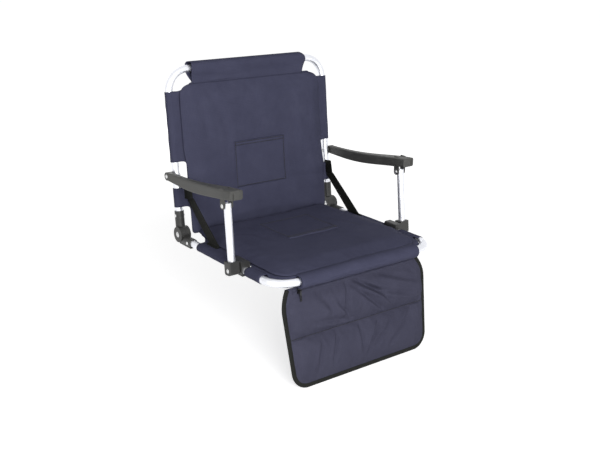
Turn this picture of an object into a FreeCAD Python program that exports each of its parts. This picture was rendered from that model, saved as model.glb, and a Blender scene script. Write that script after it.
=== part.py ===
"""Folding stadium seat with level armrests and a hanging front pocket flap.

Millimetres. The bench that the seat stands on is z = 0, +Z is up, the sitter faces -Y and x = 0 is the
middle. y = 0 is under the hinge axis of the back. Left and right are as seen from the front: left is -X.
Left pieces are drawn and right ones mirrored. The back and the posts are drawn upright and leaned
together, the flap is drawn hanging straight down and then slanted.
"""
import FreeCAD, Part
import math
import os

V = FreeCAD.Vector
ORIGIN = V(0, 0, 0)
X_AXIS = V(1, 0, 0)
Y_AXIS = V(0, 1, 0)
Z_AXIS = V(0, 0, 1)

# Tube frames
TUBE_OD = 19.0
TUBE_WALL = 1.5
FRAME_WIDTH = 484.0  # between the centres of the side tubes
SEAT_DEPTH = 419.0  # hinge axis to the centre of the front tube
BACK_HEIGHT = 415.0  # hinge axis to the centre of the top tube, along the back
BEND_RADIUS = 57.0

# Offset hinge: the seat tube lies under its axis and the back tube behind it, so that they fold together
RECLINE = 6.0  # degrees from upright
SEAT_DROP = 12.0
BACK_SET = 7.0
HUB_RADIUS = 20.0
HUB_LENGTH = 28.0
HUB_GAP = 0.3
SOCKET_WALL = 2.5
BACK_SOCKET_END = 60.0
SEAT_SOCKET_END = 55.0
TUBE_START = 22.0  # tube ends, from the hinge axis
FOOT_WIDTH = 18.0
PIN_RADIUS = 4.0
PIN_HEAD_RADIUS = 7.0
PIN_HEAD_HEIGHT = 2.5
PIN_END_PLAY = 0.2

# Rivets
RIVET_RADIUS = 2.8
RIVET_HEAD_RADIUS = 5.2
RIVET_HEAD_HEIGHT = 2.2
SOCKET_RIVET_RADIUS = 2.2
SOCKET_RIVET_HEAD_RADIUS = 4.2
SOCKET_RIVET_INSET = 12.0  # from the mouth of a socket
RUNNING_CLEARANCE = 0.05

# Arm posts, their boots and the clamps on the seat tube
POST_OD = 18.0
POST_WALL = 1.5
POST_OUT = 27.0  # outboard of the side tube's centre
POST_PIVOT_AHEAD = 280.0  # in front of the hinge axis
POST_PIVOT_RISE = 4.5  # above the centre of the seat tube
POST_BELOW_PIVOT = 7.0
POST_ABOVE_PIVOT = 6.0
OPEN_PIVOT_CLEARANCE = 0.3  # at the top of a post, where the linkage is left open
BOOT_WIDTH = 29.0
BOOT_DEPTH = 24.0
BOOT_RISE = 21.0  # above its pivot
BOOT_NOSE = 12.0  # radius of its bottom about the pivot
BOOT_HEEL = 6.0
BOOT_EDGE = 2.5
BOOT_GAP = 0.3
CLAMP_WALL = 2.6
CLAMP_FRONT = 13.0  # in front of the post pivot
CLAMP_BACK = 31.0
CLAMP_FOOT_WIDTH = 20.0
CLAMP_BOSS_RADIUS = 9.0
CLAMP_HEAD = 23.0  # above the centre of the seat tube
CLAMP_HEAD_EDGE = 5.0
CUT_OVERSHOOT = 6.0  # of a cutter beyond the faces it cuts

# Armrests
ARM_PIVOT_UP = 152.5  # from the hinge axis, along the back
ARM_TIP_RADIUS = 10.5
ARM_TIP_WIDTH = 16.0
ARM_WIDTH = 34.5
ARM_OUTBOARD = 13.5  # outboard of the post's centre
ARM_FRONT = 36.0  # in front of the post's top pivot
ARM_FRONT_RISE = 42.5  # top of the front end above the same pivot
ARM_FRONT_HEIGHT = 22.5
ARM_BELLY = 28.0  # height of the moulding at its deepest
ARM_WALL = 3.0
ARM_EDGE = 5.0
ARM_TIP_EDGE = 2.0
ARM_GROOVE = 3.0
ARM_GROOVE_IN = 8.0  # from the outboard face to the groove
EAR_RADIUS = 8.0
EAR_THICKNESS = 3.5
SPACER_RADIUS = 7.0
SPACER_THICKNESS = 1.8
ARM_SIDE_PLAY = 0.4  # between a spacer and the armrest

# Cloth
CLOTH = 1.2
CLOTH_GAP = 0.3
SLING_EDGE_IN = 14.0  # edge of a sling inboard of a side tube's centre, where the tube is bare
BACK_LOWER_SLEEVE = (62.0, 118.0)  # along the back tube, from the hinge axis
BACK_UPPER_SLEEVE_START = 184.0
BACK_SLING_START = 30.0
BACK_SLING_DOWN = 34.0  # its top edge below the centre of the top tube
SEAT_SLING_START = 30.0
SEAT_SLEEVE_START = 88.0
SEAT_SLING_BACK = 20.0  # its front edge behind the centre of the front tube
SLEEVE_END_GAP = 2.0
ROLL_END_GAP = 2.0  # ends of the top and front sleeves, from the bends
TOP_SLEEVE_RADIUS = 18.0
ROLL_RADIUS = 18.0
ROLL_THICKNESS = 4.0
BACK_PAD_IN = 20.0  # sides of the pads inboard of the side tubes' centres
SEAT_PAD_IN = 16.0
PAD_CREASE = 50.0  # both pads start this far from the hinge axis
PAD_CORNER = 34.0
PAD_HEEL_CORNER = 14.0
PAD_DRAW_IN = 3.0
BACK_PAD_DOWN = 36.0  # top edge below the centre of the top tube
SEAT_PAD_BACK = 18.0  # front edge behind the centre of the front tube
PAD_CROWN = 11.0
PAD_SHOULDER = 44.0  # from the edge to the flat of the crown
CORNER_TAPER = 0.7  # share of a corner's radius that is lost at the crown
PATCH_HALF = 80.0
PATCH_HEIGHT = 122.0
BACK_PATCH_START = 96.0
SEAT_PATCH_START = 97.0
PATCH_THICKNESS = 1.2
GUSSET_IN = 24.0  # inboard of the side tubes' centres
GUSSET_THICKNESS = 3.0
GUSSET_BEND = 18.0
STRAP_THICKNESS = 1.5
STRAP_BACK = (72.0, 112.0)
STRAP_SEAT = (92.0, 132.0)

# Pocket flap
FLAP_SLANT = 10.0  # degrees, bottom forward
FLAP_BEHIND = 19.0  # hinge line behind the front tube's centre
FLAP_SEAM_GAP = 2.0  # hinge line below the front sleeve
FLAP_HEIGHT = 238.0
FLAP_IN = 39.0  # its top corners, in from the side tubes' centres
FLAP_SHOULDER = 14.0  # widening down to the foot of its rounded shoulders
FLAP_WIDE_DOWN = 55.0
FLAP_SHOULDER_BULGE = 0.75
FLAP_TAPER = 8.0  # narrowing from there to the bottom
FLAP_CORNER = 42.0
FLAP_RIM = 3.0
FLAP_BEAD = 2.2  # radius of the bead in its top hem
BINDING_WIDTH = 10.0
BINDING_LIP = 1.0
CHANNEL_TOP = 25.0
CHANNEL_SEAM = 121.0
CHANNEL_SEAM_WIDTH = 4.0
CHANNEL_MARGIN = 3.0  # from the binding
CHANNEL_CROWN = 7.0
CHANNEL_SHOULDER = 30.0
CHANNEL_CORNER = 10.0
ZIP_DOWN = 10.0  # chain below the flap's hinge line
TAPE_HALF_HEIGHT = 7.0
TAPE_THICKNESS = 0.8
TAPE_END_GAP = 3.0
CHAIN_RADIUS = 2.0
CHAIN_CLEARANCE = 0.4
SLIDER_PARK = 18.0  # from the end of the zipper to the parked slider
SLIDER_HALF_LENGTH = 5.0
SLIDER_HALF_HEIGHT = 5.5
SLIDER_DEPTH = 3.8
BAIL_RADIUS = 0.9
BAIL_STANDOFF = 2.5
BAIL_LEG = 1.2
PULL_EYE_RADIUS = 2.1
PULL_WIDTH = 5.0
PULL_LENGTH = 24.0
PULL_THICKNESS = 1.4
PULL_WINDOW = 2.4

# Worked out from the sizes above
TUBE_R = TUBE_OD / 2
HALF = FRAME_WIDTH / 2
SOCKET_R = TUBE_R + SOCKET_WALL
SEAT_Z = SOCKET_R
HINGE_Z = SEAT_Z + SEAT_DROP
SLEEVE_IN = TUBE_R + CLOTH_GAP
SLEEVE_OUT = SLEEVE_IN + CLOTH
HUB_HALF = HUB_LENGTH / 2
HUB_SPLIT = HUB_GAP / 2
POST_X = HALF + POST_OUT
POST_R = POST_OD / 2
POST_SET = BACK_SET / 2  # post axis behind its lower pivot and ahead of its upper one
POST_PIVOT_Z = SEAT_Z + POST_PIVOT_RISE
BOOT_INNER = POST_X - BOOT_WIDTH / 2
BOOT_OUTER = POST_X + BOOT_WIDTH / 2
CLAMP_R = TUBE_R + CLAMP_WALL
CLAMP_FACE = BOOT_INNER - BOOT_GAP
ARM_INNER = HALF + TUBE_R + SPACER_THICKNESS
ARM_OUTER = ARM_INNER + ARM_TIP_WIDTH
SLING_INNER_HALF = HALF - SLING_EDGE_IN
BACK_SLING_TOP = BACK_HEIGHT - BACK_SLING_DOWN
SEAT_SLING_FRONT = SEAT_DEPTH - SEAT_SLING_BACK
PAD_HALF_BACK = HALF - BACK_PAD_IN
PAD_HALF_SEAT = HALF - SEAT_PAD_IN
BACK_PAD_TOP = BACK_HEIGHT - BACK_PAD_DOWN
SEAT_PAD_FRONT = SEAT_DEPTH - SEAT_PAD_BACK
GUSSET_HALF = HALF - GUSSET_IN
FLAP_TOP_HALF = HALF - FLAP_IN
FLAP_WIDE_HALF = FLAP_TOP_HALF + FLAP_SHOULDER
FLAP_BOTTOM_HALF = FLAP_WIDE_HALF - FLAP_TAPER
ZIP_HALF = FLAP_TOP_HALF - BINDING_WIDTH - TAPE_END_GAP
SLIDER_REST = ZIP_HALF - SLIDER_PARK  # to the left of the middle
FLAP_Y = -SEAT_DEPTH + FLAP_BEHIND
FLAP_Z = SEAT_Z - ROLL_RADIUS - FLAP_SEAM_GAP


def lean(y, z):
    """Turn a point of the upright back, measured from the hinge axis, to its reclined place."""
    a = math.radians(RECLINE)
    return y * math.cos(a) + z * math.sin(a), z * math.cos(a) - y * math.sin(a)


ARM_LINK = lean(BACK_SET, ARM_PIVOT_UP)
ARM_PIVOT = (ARM_LINK[0], HINGE_Z + ARM_LINK[1])
POST_TOP = (-POST_PIVOT_AHEAD + ARM_LINK[0], POST_PIVOT_Z + ARM_LINK[1])


def box(x0, x1, y0, y1, z0, z1):
    """A block between two corners."""
    return Part.makeBox(x1 - x0, y1 - y0, z1 - z0, V(x0, y0, z0))


def bar_x(y, z, radius, x0, x1):
    """A round bar along X."""
    return Part.makeCylinder(radius, x1 - x0, V(x0, y, z), X_AXIS)


def fuse(*shapes):
    """One solid from several, with the seams between flush faces removed."""
    return shapes[0].multiFuse(list(shapes[1:])).removeSplitter()


def join(*shapes):
    """One solid from several lofted pieces, with the edges where they meet kept."""
    return shapes[0].multiFuse(list(shapes[1:]))


def mirrored(shape):
    """The same piece on the other side."""
    return shape.mirror(ORIGIN, X_AXIS)


def pair(shape):
    """A piece and its mirror image as a group of two solids."""
    return Part.makeCompound([shape, mirrored(shape)])


def on_back(shape):
    """Put a piece drawn upright about the hinge axis on the reclined back."""
    return shape.rotated(ORIGIN, X_AXIS, -RECLINE).translated(V(0, 0, HINGE_Z))


def on_post(shape):
    """Put a piece drawn upright about the post's lower pivot in its place."""
    return shape.rotated(ORIGIN, X_AXIS, -RECLINE).translated(V(0, -POST_PIVOT_AHEAD, POST_PIVOT_Z))


def on_flap(shape):
    """Put a piece drawn hanging from the flap's hinge line in its place."""
    return shape.rotated(ORIGIN, X_AXIS, -FLAP_SLANT).translated(V(0, FLAP_Y, FLAP_Z))


def arc(a, b, c):
    """An arc edge through three points."""
    return Part.Arc(V(*a), V(*b), V(*c)).toShape()


def line(a, b):
    """A straight edge."""
    return Part.LineSegment(V(*a), V(*b)).toShape()


def polygon(points):
    """A face with straight sides."""
    return Part.Face(Part.makePolygon([V(*p) for p in points + points[:1]]))


def rivet(y, z, x0, x1, radius, head_radius, head_height):
    """A rivet along X with a domed head at each end of its grip."""
    dome = (head_radius ** 2 + head_height ** 2) / (2 * head_height)
    sink = dome - head_height
    shank = bar_x(0, 0, radius, x0, x1)
    left_slab = bar_x(0, 0, 2 * head_radius, x0 - 2 * head_height, x0)
    right_slab = bar_x(0, 0, 2 * head_radius, x1, x1 + 2 * head_height)
    left_head = left_slab.common(Part.makeSphere(dome, V(x0 + sink, 0, 0)))
    right_head = right_slab.common(Part.makeSphere(dome, V(x1 - sink, 0, 0)))
    return fuse(shank, left_head, right_head).translated(V(0, y, z))


def u_rod(radius, length):
    """A round rod bent to a U in the XY plane: two legs from y = -TUBE_START to a cross bar at -length."""
    side = HALF - BEND_RADIUS
    straight = length - BEND_RADIUS
    section = Part.Face(Part.Wire(Part.makeCircle(radius, V(-HALF, -TUBE_START, 0), Y_AXIS)))
    leg = section.extrude(V(0, TUBE_START - straight, 0))
    bend = section.translated(V(0, TUBE_START - straight, 0)).revolve(V(-side, -straight, 0), Z_AXIS, 90)
    bar = Part.makeCylinder(radius, 2 * side, V(-side, -length, 0), X_AXIS)
    return fuse(leg, bend, bar, mirrored(bend), mirrored(leg))


def u_tube(length):
    """A bent tube with its bore."""
    return u_rod(TUBE_R, length).cut(u_rod(TUBE_R - TUBE_WALL, length))


def socket_rivet_hole(y, z):
    """A hole through both side tubes for the rivets of the sockets."""
    return pair(bar_x(y, z, SOCKET_RIVET_RADIUS, -HALF - SOCKET_R, -HALF + SOCKET_R))


BACK_RIVET_Z = BACK_SOCKET_END - SOCKET_RIVET_INSET
SEAT_RIVET_Y = -SEAT_SOCKET_END + SOCKET_RIVET_INSET


def seat_frame_tube():
    """The seat's U, cross-drilled for the socket rivets and the post rivets."""
    tube = u_tube(SEAT_DEPTH).translated(V(0, 0, SEAT_Z))
    post_hole = bar_x(-POST_PIVOT_AHEAD, POST_PIVOT_Z, RIVET_RADIUS, -HALF - TUBE_OD, -HALF + TUBE_OD)
    return tube.cut([socket_rivet_hole(SEAT_RIVET_Y, SEAT_Z), pair(post_hole)])


def back_frame_tube():
    """The back's upturned U, cross-drilled for the socket rivets and the armrest rivets."""
    tube = u_tube(BACK_HEIGHT).rotated(ORIGIN, X_AXIS, -90).translated(V(0, BACK_SET, 0))
    arm_hole = bar_x(BACK_SET, ARM_PIVOT_UP, RIVET_RADIUS, -HALF - TUBE_OD, -HALF + TUBE_OD)
    return on_back(tube.cut([socket_rivet_hole(BACK_SET, BACK_RIVET_Z), pair(arm_hole)]))


def back_knuckle():
    """The outer half of a hinge hub with the socket that holds the back tube."""
    disc = bar_x(0, 0, HUB_RADIUS, -HALF - HUB_HALF, -HALF - HUB_SPLIT)
    socket = Part.makeCylinder(SOCKET_R, BACK_SOCKET_END, V(-HALF, BACK_SET, 0), Z_AXIS)
    sweep = bar_x(0, 0, HUB_RADIUS + HUB_GAP, -HALF - HUB_SPLIT, -HALF + HUB_LENGTH)
    bore = Part.makeCylinder(TUBE_R, BACK_SOCKET_END, V(-HALF, BACK_SET, TUBE_START), Z_AXIS)
    pin_hole = bar_x(0, 0, PIN_RADIUS + RUNNING_CLEARANCE, -HALF - HUB_LENGTH, -HALF + HUB_LENGTH)
    body = fuse(disc, socket).cut([sweep, bore, pin_hole, socket_rivet_hole(BACK_SET, BACK_RIVET_Z)])
    return on_back(body)


def seat_knuckle():
    """The inner half of a hinge hub with the socket that holds the seat tube and its flat foot."""
    disc = bar_x(0, HINGE_Z, HUB_RADIUS, -HALF + HUB_SPLIT, -HALF + HUB_HALF)
    socket = Part.makeCylinder(SOCKET_R, SEAT_SOCKET_END, V(-HALF, -SEAT_SOCKET_END, SEAT_Z), Y_AXIS)
    foot = box(-HALF - FOOT_WIDTH / 2, -HALF + FOOT_WIDTH / 2, -SEAT_SOCKET_END, 0, 0, SEAT_Z)
    sweep = bar_x(0, HINGE_Z, HUB_RADIUS + HUB_GAP, -HALF - HUB_LENGTH, -HALF + HUB_SPLIT)
    bore = Part.makeCylinder(TUBE_R, SEAT_SOCKET_END, V(-HALF, -TUBE_START - SEAT_SOCKET_END, SEAT_Z), Y_AXIS)
    pin_hole = bar_x(0, HINGE_Z, PIN_RADIUS, -HALF - HUB_LENGTH, -HALF + HUB_LENGTH)
    return fuse(disc, socket, foot).cut([sweep, bore, pin_hole, socket_rivet_hole(SEAT_RIVET_Y, SEAT_Z)])


def hinge_pin():
    """The headed pin of a rear hinge."""
    outer = -HALF - HUB_HALF - PIN_END_PLAY
    return rivet(0, HINGE_Z, outer, -HALF + HUB_HALF, PIN_RADIUS, PIN_HEAD_RADIUS, PIN_HEAD_HEIGHT)


def socket_rivet(y, z):
    """A rivet through a socket and the tube in it."""
    return rivet(y, z, -HALF - SOCKET_R, -HALF + SOCKET_R, SOCKET_RIVET_RADIUS, SOCKET_RIVET_HEAD_RADIUS,
                 RIVET_HEAD_HEIGHT)


def seat_clamp():
    """A saddle clamp round the seat tube: a raised head, a flat foot and a boss that the boot turns against."""
    y0 = -POST_PIVOT_AHEAD - CLAMP_FRONT
    length = CLAMP_FRONT + CLAMP_BACK
    saddle = Part.makeCylinder(CLAMP_R, length, V(-HALF, y0, SEAT_Z), Y_AXIS)
    foot = box(-HALF - CLAMP_FOOT_WIDTH / 2, -HALF + CLAMP_FOOT_WIDTH / 2, y0, y0 + length, 0, SEAT_Z)
    boss = bar_x(-POST_PIVOT_AHEAD, POST_PIVOT_Z, CLAMP_BOSS_RADIUS, -CLAMP_FACE, -HALF)
    top = rounded_section(y0, -HALF - CLAMP_R, -HALF + CLAMP_R, SEAT_Z - CLAMP_HEAD_EDGE, SEAT_Z + CLAMP_HEAD,
                          CLAMP_HEAD_EDGE)
    head = Part.Face(top).extrude(V(0, length, 0))
    wide = 2 * CLAMP_R
    under = box(-HALF - wide, -HALF + wide, y0 - CUT_OVERSHOOT, y0 + length + CUT_OVERSHOOT, -wide, 0)
    bore = Part.makeCylinder(TUBE_R, length + 2 * CUT_OVERSHOOT, V(-HALF, y0 - CUT_OVERSHOOT, SEAT_Z), Y_AXIS)
    hole = bar_x(-POST_PIVOT_AHEAD, POST_PIVOT_Z, RIVET_RADIUS, -CLAMP_FACE - CUT_OVERSHOOT, -HALF + wide)
    return fuse(saddle, head, foot, boss).cut([under, bore, hole])


def post_rivet():
    """The rivet through boot, post, clamp and seat tube."""
    return rivet(-POST_PIVOT_AHEAD, POST_PIVOT_Z, -BOOT_OUTER - PIN_END_PLAY, -HALF + CLAMP_R, RIVET_RADIUS,
                 RIVET_HEAD_RADIUS, RIVET_HEAD_HEIGHT)


def arm_post():
    """A post tube, cross-drilled at both pivots."""
    length = POST_BELOW_PIVOT + ARM_PIVOT_UP + POST_ABOVE_PIVOT
    base = V(-POST_X, POST_SET, -POST_BELOW_PIVOT)
    tube = Part.makeCylinder(POST_R, length, base).cut(Part.makeCylinder(POST_R - POST_WALL, length, base))
    low = bar_x(0, 0, RIVET_RADIUS + RUNNING_CLEARANCE, -POST_X - POST_OD, -POST_X + POST_OD)
    high = bar_x(BACK_SET, ARM_PIVOT_UP, RIVET_RADIUS + OPEN_PIVOT_CLEARANCE, -POST_X - POST_OD,
                 -POST_X + POST_OD)
    return on_post(tube.cut([low, high]))


def post_boot():
    """The moulded boot on a post's foot, rounded about the pivot so that it clears the bench as it turns."""
    front = POST_SET - BOOT_DEPTH / 2
    back = POST_SET + BOOT_DEPTH / 2
    chin = -math.sqrt(BOOT_NOSE ** 2 - front ** 2)
    half_turn = math.atan2(chin, front) / 2 - math.pi / 4
    nose_mid = (0, BOOT_NOSE * math.cos(half_turn), BOOT_NOSE * math.sin(half_turn))
    heel_in = BOOT_HEEL * (1 - math.sqrt(0.5))
    edges = [
        line((0, back, BOOT_RISE), (0, front, BOOT_RISE)),
        line((0, front, BOOT_RISE), (0, front, chin)),
        arc((0, front, chin), nose_mid, (0, 0, -BOOT_NOSE)),
        line((0, 0, -BOOT_NOSE), (0, back - BOOT_HEEL, -BOOT_NOSE)),
        arc((0, back - BOOT_HEEL, -BOOT_NOSE), (0, back - heel_in, -BOOT_NOSE + heel_in),
            (0, back, -BOOT_NOSE + BOOT_HEEL)),
        line((0, back, -BOOT_NOSE + BOOT_HEEL), (0, back, BOOT_RISE)),
    ]
    block = Part.Face(Part.Wire(edges)).extrude(V(BOOT_WIDTH, 0, 0)).translated(V(-BOOT_OUTER, 0, 0))
    rims = [e for f in block.Faces if abs(f.normalAt(0, 0).x) > 0.9 for e in f.Edges]
    block = block.makeFillet(BOOT_EDGE, rims)
    socket = Part.makeCylinder(POST_R, 2 * BOOT_RISE, V(-POST_X, POST_SET, -POST_BELOW_PIVOT))
    hole = bar_x(0, 0, RIVET_RADIUS + RUNNING_CLEARANCE, -POST_X - BOOT_WIDTH, -POST_X + BOOT_WIDTH)
    return on_post(block.cut([socket, hole]))


def rounded_section(y, x0, x1, z0, z1, r):
    """A rounded rectangle across Y."""
    m = r * (1 - math.sqrt(0.5))
    edges = [
        line((x0 + r, y, z0), (x1 - r, y, z0)),
        arc((x1 - r, y, z0), (x1 - m, y, z0 + m), (x1, y, z0 + r)),
        line((x1, y, z0 + r), (x1, y, z1 - r)),
        arc((x1, y, z1 - r), (x1 - m, y, z1 - m), (x1 - r, y, z1)),
        line((x1 - r, y, z1), (x0 + r, y, z1)),
        arc((x0 + r, y, z1), (x0 + m, y, z1 - m), (x0, y, z1 - r)),
        line((x0, y, z1 - r), (x0, y, z0 + r)),
        arc((x0, y, z0 + r), (x0 + m, y, z0 + m), (x0 + r, y, z0)),
    ]
    return Part.Wire(edges)


def armrest_stations():
    """Rows of y, outer x, inner x, bottom z, top z and edge radius from the rear tip to the front end."""
    wide_out = POST_X + ARM_OUTBOARD
    wide_in = wide_out - ARM_WIDTH
    reach = ARM_PIVOT[0] - POST_TOP[0]
    top = POST_TOP[1] + ARM_FRONT_RISE
    under = top - ARM_FRONT_HEIGHT
    tip_top = ARM_PIVOT[1] + ARM_TIP_RADIUS
    tip_under = ARM_PIVOT[1] - ARM_TIP_RADIUS

    def station(along, flare_out, flare_in, rise, belly):
        y = ARM_PIVOT[0] - along * reach
        z1 = tip_top + (top - tip_top) * rise
        height = 2 * ARM_TIP_RADIUS + (ARM_BELLY - 2 * ARM_TIP_RADIUS) * belly
        outer = ARM_OUTER + (wide_out - ARM_OUTER) * flare_out
        inner = ARM_INNER + (wide_in - ARM_INNER) * flare_in
        return (y, outer, inner, z1 - height, z1, ARM_EDGE)

    front_y = POST_TOP[0] - ARM_FRONT
    return [
        (ARM_PIVOT[0], ARM_OUTER, ARM_INNER, tip_under, tip_top, ARM_TIP_EDGE),
        station(0.22, 0.10, 0.0, 0.06, 0.64),
        station(0.47, 0.32, 0.10, 0.21, 0.90),
        station(0.70, 0.62, 0.40, 0.48, 0.80),
        station(0.88, 0.92, 0.85, 0.73, 0.60),
        (front_y, wide_out, wide_in, under, top, ARM_EDGE),
    ]


def armrest():
    """A moulded armrest: a skinned channel, open below, with a pivot tip behind and two ears in front."""
    rows = armrest_stations()
    skin = Part.makeLoft([rounded_section(y, -o, -i, b, t, r) for y, o, i, b, t, r in rows], True, False)
    tip = bar_x(ARM_PIVOT[0], ARM_PIVOT[1], ARM_TIP_RADIUS, -ARM_OUTER, -ARM_INNER)
    deep = ARM_BELLY
    hollow_rows = [(y, o - ARM_WALL, i + ARM_WALL, b - deep, t - ARM_WALL, r - ARM_TIP_EDGE)
                   for y, o, i, b, t, r in rows[1:-1]]
    y, o, i, b, t, r = rows[-1]
    hollow_rows.append((y + ARM_WALL, o - ARM_WALL, i + ARM_WALL, b - deep, t - ARM_WALL, r - ARM_TIP_EDGE))
    hollow_wires = [rounded_section(y, -o, -i, b, t, r) for y, o, i, b, t, r in hollow_rows]
    hollow = Part.makeLoft(hollow_wires, True, False)
    body = join(skin, tip).cut(hollow)
    ear_top = POST_TOP[1] + ARM_FRONT_RISE - ARM_WALL / 2
    ears = []
    for near in (POST_R + BOOT_GAP, -POST_R - BOOT_GAP - EAR_THICKNESS):
        x0 = -POST_X + near
        disc = bar_x(POST_TOP[0], POST_TOP[1], EAR_RADIUS, x0, x0 + EAR_THICKNESS)
        stem = box(x0, x0 + EAR_THICKNESS, POST_TOP[0] - EAR_RADIUS, POST_TOP[0] + EAR_RADIUS, POST_TOP[1],
                   ear_top)
        ears.append(fuse(disc, stem))
    mid = -POST_X - ARM_OUTBOARD + ARM_GROOVE_IN
    groove = box(mid - ARM_GROOVE / 2, mid + ARM_GROOVE / 2, y - ARM_WALL, y + ARM_WALL / 2, b - deep,
                 t - ARM_EDGE)
    rear_hole = bar_x(ARM_PIVOT[0], ARM_PIVOT[1], RIVET_RADIUS + RUNNING_CLEARANCE, -ARM_OUTER - ARM_WALL,
                      -ARM_INNER + ARM_WALL)
    front_hole = bar_x(POST_TOP[0], POST_TOP[1], RIVET_RADIUS, -POST_X - ARM_WIDTH, -POST_X + ARM_WIDTH)
    return join(body, *ears).cut([groove, rear_hole, front_hole])


def armrest_front_rivet():
    """The rivet through an armrest's two ears and the top of the post."""
    grip = POST_R + BOOT_GAP + EAR_THICKNESS
    return rivet(POST_TOP[0], POST_TOP[1], -POST_X - grip, -POST_X + grip, RIVET_RADIUS, RIVET_HEAD_RADIUS,
                 RIVET_HEAD_HEIGHT)


def armrest_rear_rivet():
    """The rivet that hangs an armrest's tip on the back tube."""
    return rivet(ARM_PIVOT[0], ARM_PIVOT[1], -ARM_OUTER - PIN_END_PLAY, -HALF + TUBE_R, RIVET_RADIUS,
                 RIVET_HEAD_RADIUS, RIVET_HEAD_HEIGHT)


def armrest_spacer():
    """A saddle washer that seats on the back tube and carries the armrest's inner face."""
    washer = bar_x(BACK_SET, ARM_PIVOT_UP, SPACER_RADIUS, -ARM_INNER + ARM_SIDE_PLAY, -HALF)
    tube = Part.makeCylinder(TUBE_R, 4 * SPACER_RADIUS, V(-HALF, BACK_SET, ARM_PIVOT_UP - 2 * SPACER_RADIUS))
    hole = bar_x(BACK_SET, ARM_PIVOT_UP, RIVET_RADIUS, -HALF - TUBE_OD, -HALF)
    return on_back(washer.cut([tube, hole]))


def stepped_sheet(rows, thickness):
    """A flat sheet, symmetric about x = 0, from rows of half width and y."""
    outline = [(x, y, 0) for x, y in rows] + [(-x, y, 0) for x, y in reversed(rows)]
    return polygon(outline).extrude(V(0, 0, thickness))


def sling(sheet_rows, sleeves):
    """A sling drawn flat over tubes that lie along -Y at z = 0: its sheet and the sleeves round the tubes."""
    sheet = stepped_sheet(sheet_rows, CLOTH).translated(V(0, 0, SLEEVE_IN))
    rings = []
    bores = []
    for start, end in sleeves:
        for x in (-HALF, HALF):
            rings.append(Part.makeCylinder(SLEEVE_OUT, end - start, V(x, -end, 0), Y_AXIS))
            bores.append(Part.makeCylinder(SLEEVE_IN, end - start, V(x, -end, 0), Y_AXIS))
    return fuse(sheet, *rings).cut(bores)


def back_sling():
    """The back's sling with four side sleeves, open where the armrests are riveted."""
    low, high = BACK_LOWER_SLEEVE
    top = BACK_HEIGHT - BEND_RADIUS - SLEEVE_END_GAP
    neck = HALF - BEND_RADIUS - ROLL_END_GAP
    rows = [(SLING_INNER_HALF, -BACK_SLING_START), (SLING_INNER_HALF, -low), (HALF, -low), (HALF, -high),
            (SLING_INNER_HALF, -high), (SLING_INNER_HALF, -BACK_UPPER_SLEEVE_START),
            (HALF, -BACK_UPPER_SLEEVE_START), (HALF, -top), (neck, -top), (neck, -BACK_SLING_TOP)]
    flat = sling(rows, [(low, high), (BACK_UPPER_SLEEVE_START, top)])
    return on_back(flat.rotated(ORIGIN, X_AXIS, -90).mirror(ORIGIN, Y_AXIS).translated(V(0, BACK_SET, 0)))


def seat_sling():
    """The seat's sling with four side sleeves, open where the clamps grip the tube."""
    low = SEAT_SLEEVE_START
    high = POST_PIVOT_AHEAD - CLAMP_BACK - SLEEVE_END_GAP
    fore = POST_PIVOT_AHEAD + CLAMP_FRONT + SLEEVE_END_GAP
    end = SEAT_DEPTH - BEND_RADIUS - SLEEVE_END_GAP
    neck = HALF - BEND_RADIUS - ROLL_END_GAP
    rows = [(SLING_INNER_HALF, -SEAT_SLING_START), (SLING_INNER_HALF, -low), (HALF, -low), (HALF, -high),
            (SLING_INNER_HALF, -high), (SLING_INNER_HALF, -fore), (HALF, -fore), (HALF, -end), (neck, -end),
            (neck, -SEAT_SLING_FRONT)]
    return sling(rows, [(low, high), (fore, end)]).translated(V(0, 0, SEAT_Z))


def top_sleeve():
    """The loose sleeve over the top tube: a teardrop loop of cloth that meets the sling at its point."""
    half = HALF - BEND_RADIUS - ROLL_END_GAP
    front = BACK_SET - SLEEVE_OUT

    def loop(radius, rise):
        point = (-half, front, BACK_SLING_TOP + rise)
        heel = (-half, front + CLOTH, BACK_SLING_TOP + rise)
        left = (-half, BACK_SET - radius, BACK_HEIGHT)
        right = (-half, BACK_SET + radius, BACK_HEIGHT)
        crown = (-half, BACK_SET, BACK_HEIGHT + radius)
        edges = [line(point, left), arc(left, crown, right), line(right, heel), line(heel, point)]
        return Part.Face(Part.Wire(edges)).extrude(V(2 * half, 0, 0))

    return on_back(loop(TOP_SLEEVE_RADIUS, 0).cut(loop(TOP_SLEEVE_RADIUS - CLOTH, 4 * CLOTH)))


def front_sleeve():
    """The padded roll over the front tube, sewn to the seat sling, with the seam tab that carries the flap."""
    half = HALF - BEND_RADIUS - ROLL_END_GAP
    drop = ROLL_RADIUS + FLAP_SEAM_GAP
    tab_end = math.hypot(FLAP_BEHIND, drop) - FLAP_BEAD - CLOTH_GAP
    tab = box(-half, half, -CLOTH / 2, CLOTH / 2, -tab_end, -ROLL_RADIUS + ROLL_THICKNESS / 2)
    tab = tab.rotated(ORIGIN, X_AXIS, math.degrees(math.atan2(FLAP_BEHIND, drop)))
    tab = tab.translated(V(0, -SEAT_DEPTH, SEAT_Z))
    roll = bar_x(-SEAT_DEPTH, SEAT_Z, ROLL_RADIUS, -half, half)
    core = bar_x(-SEAT_DEPTH, SEAT_Z, ROLL_RADIUS - ROLL_THICKNESS, -half, half)
    tail = box(-half, half, -SEAT_DEPTH + ROLL_RADIUS - ROLL_THICKNESS, -SEAT_SLING_FRONT, SEAT_Z + SLEEVE_IN,
               SEAT_Z + SLEEVE_OUT)
    return fuse(roll, tail, tab).cut(core)


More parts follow.
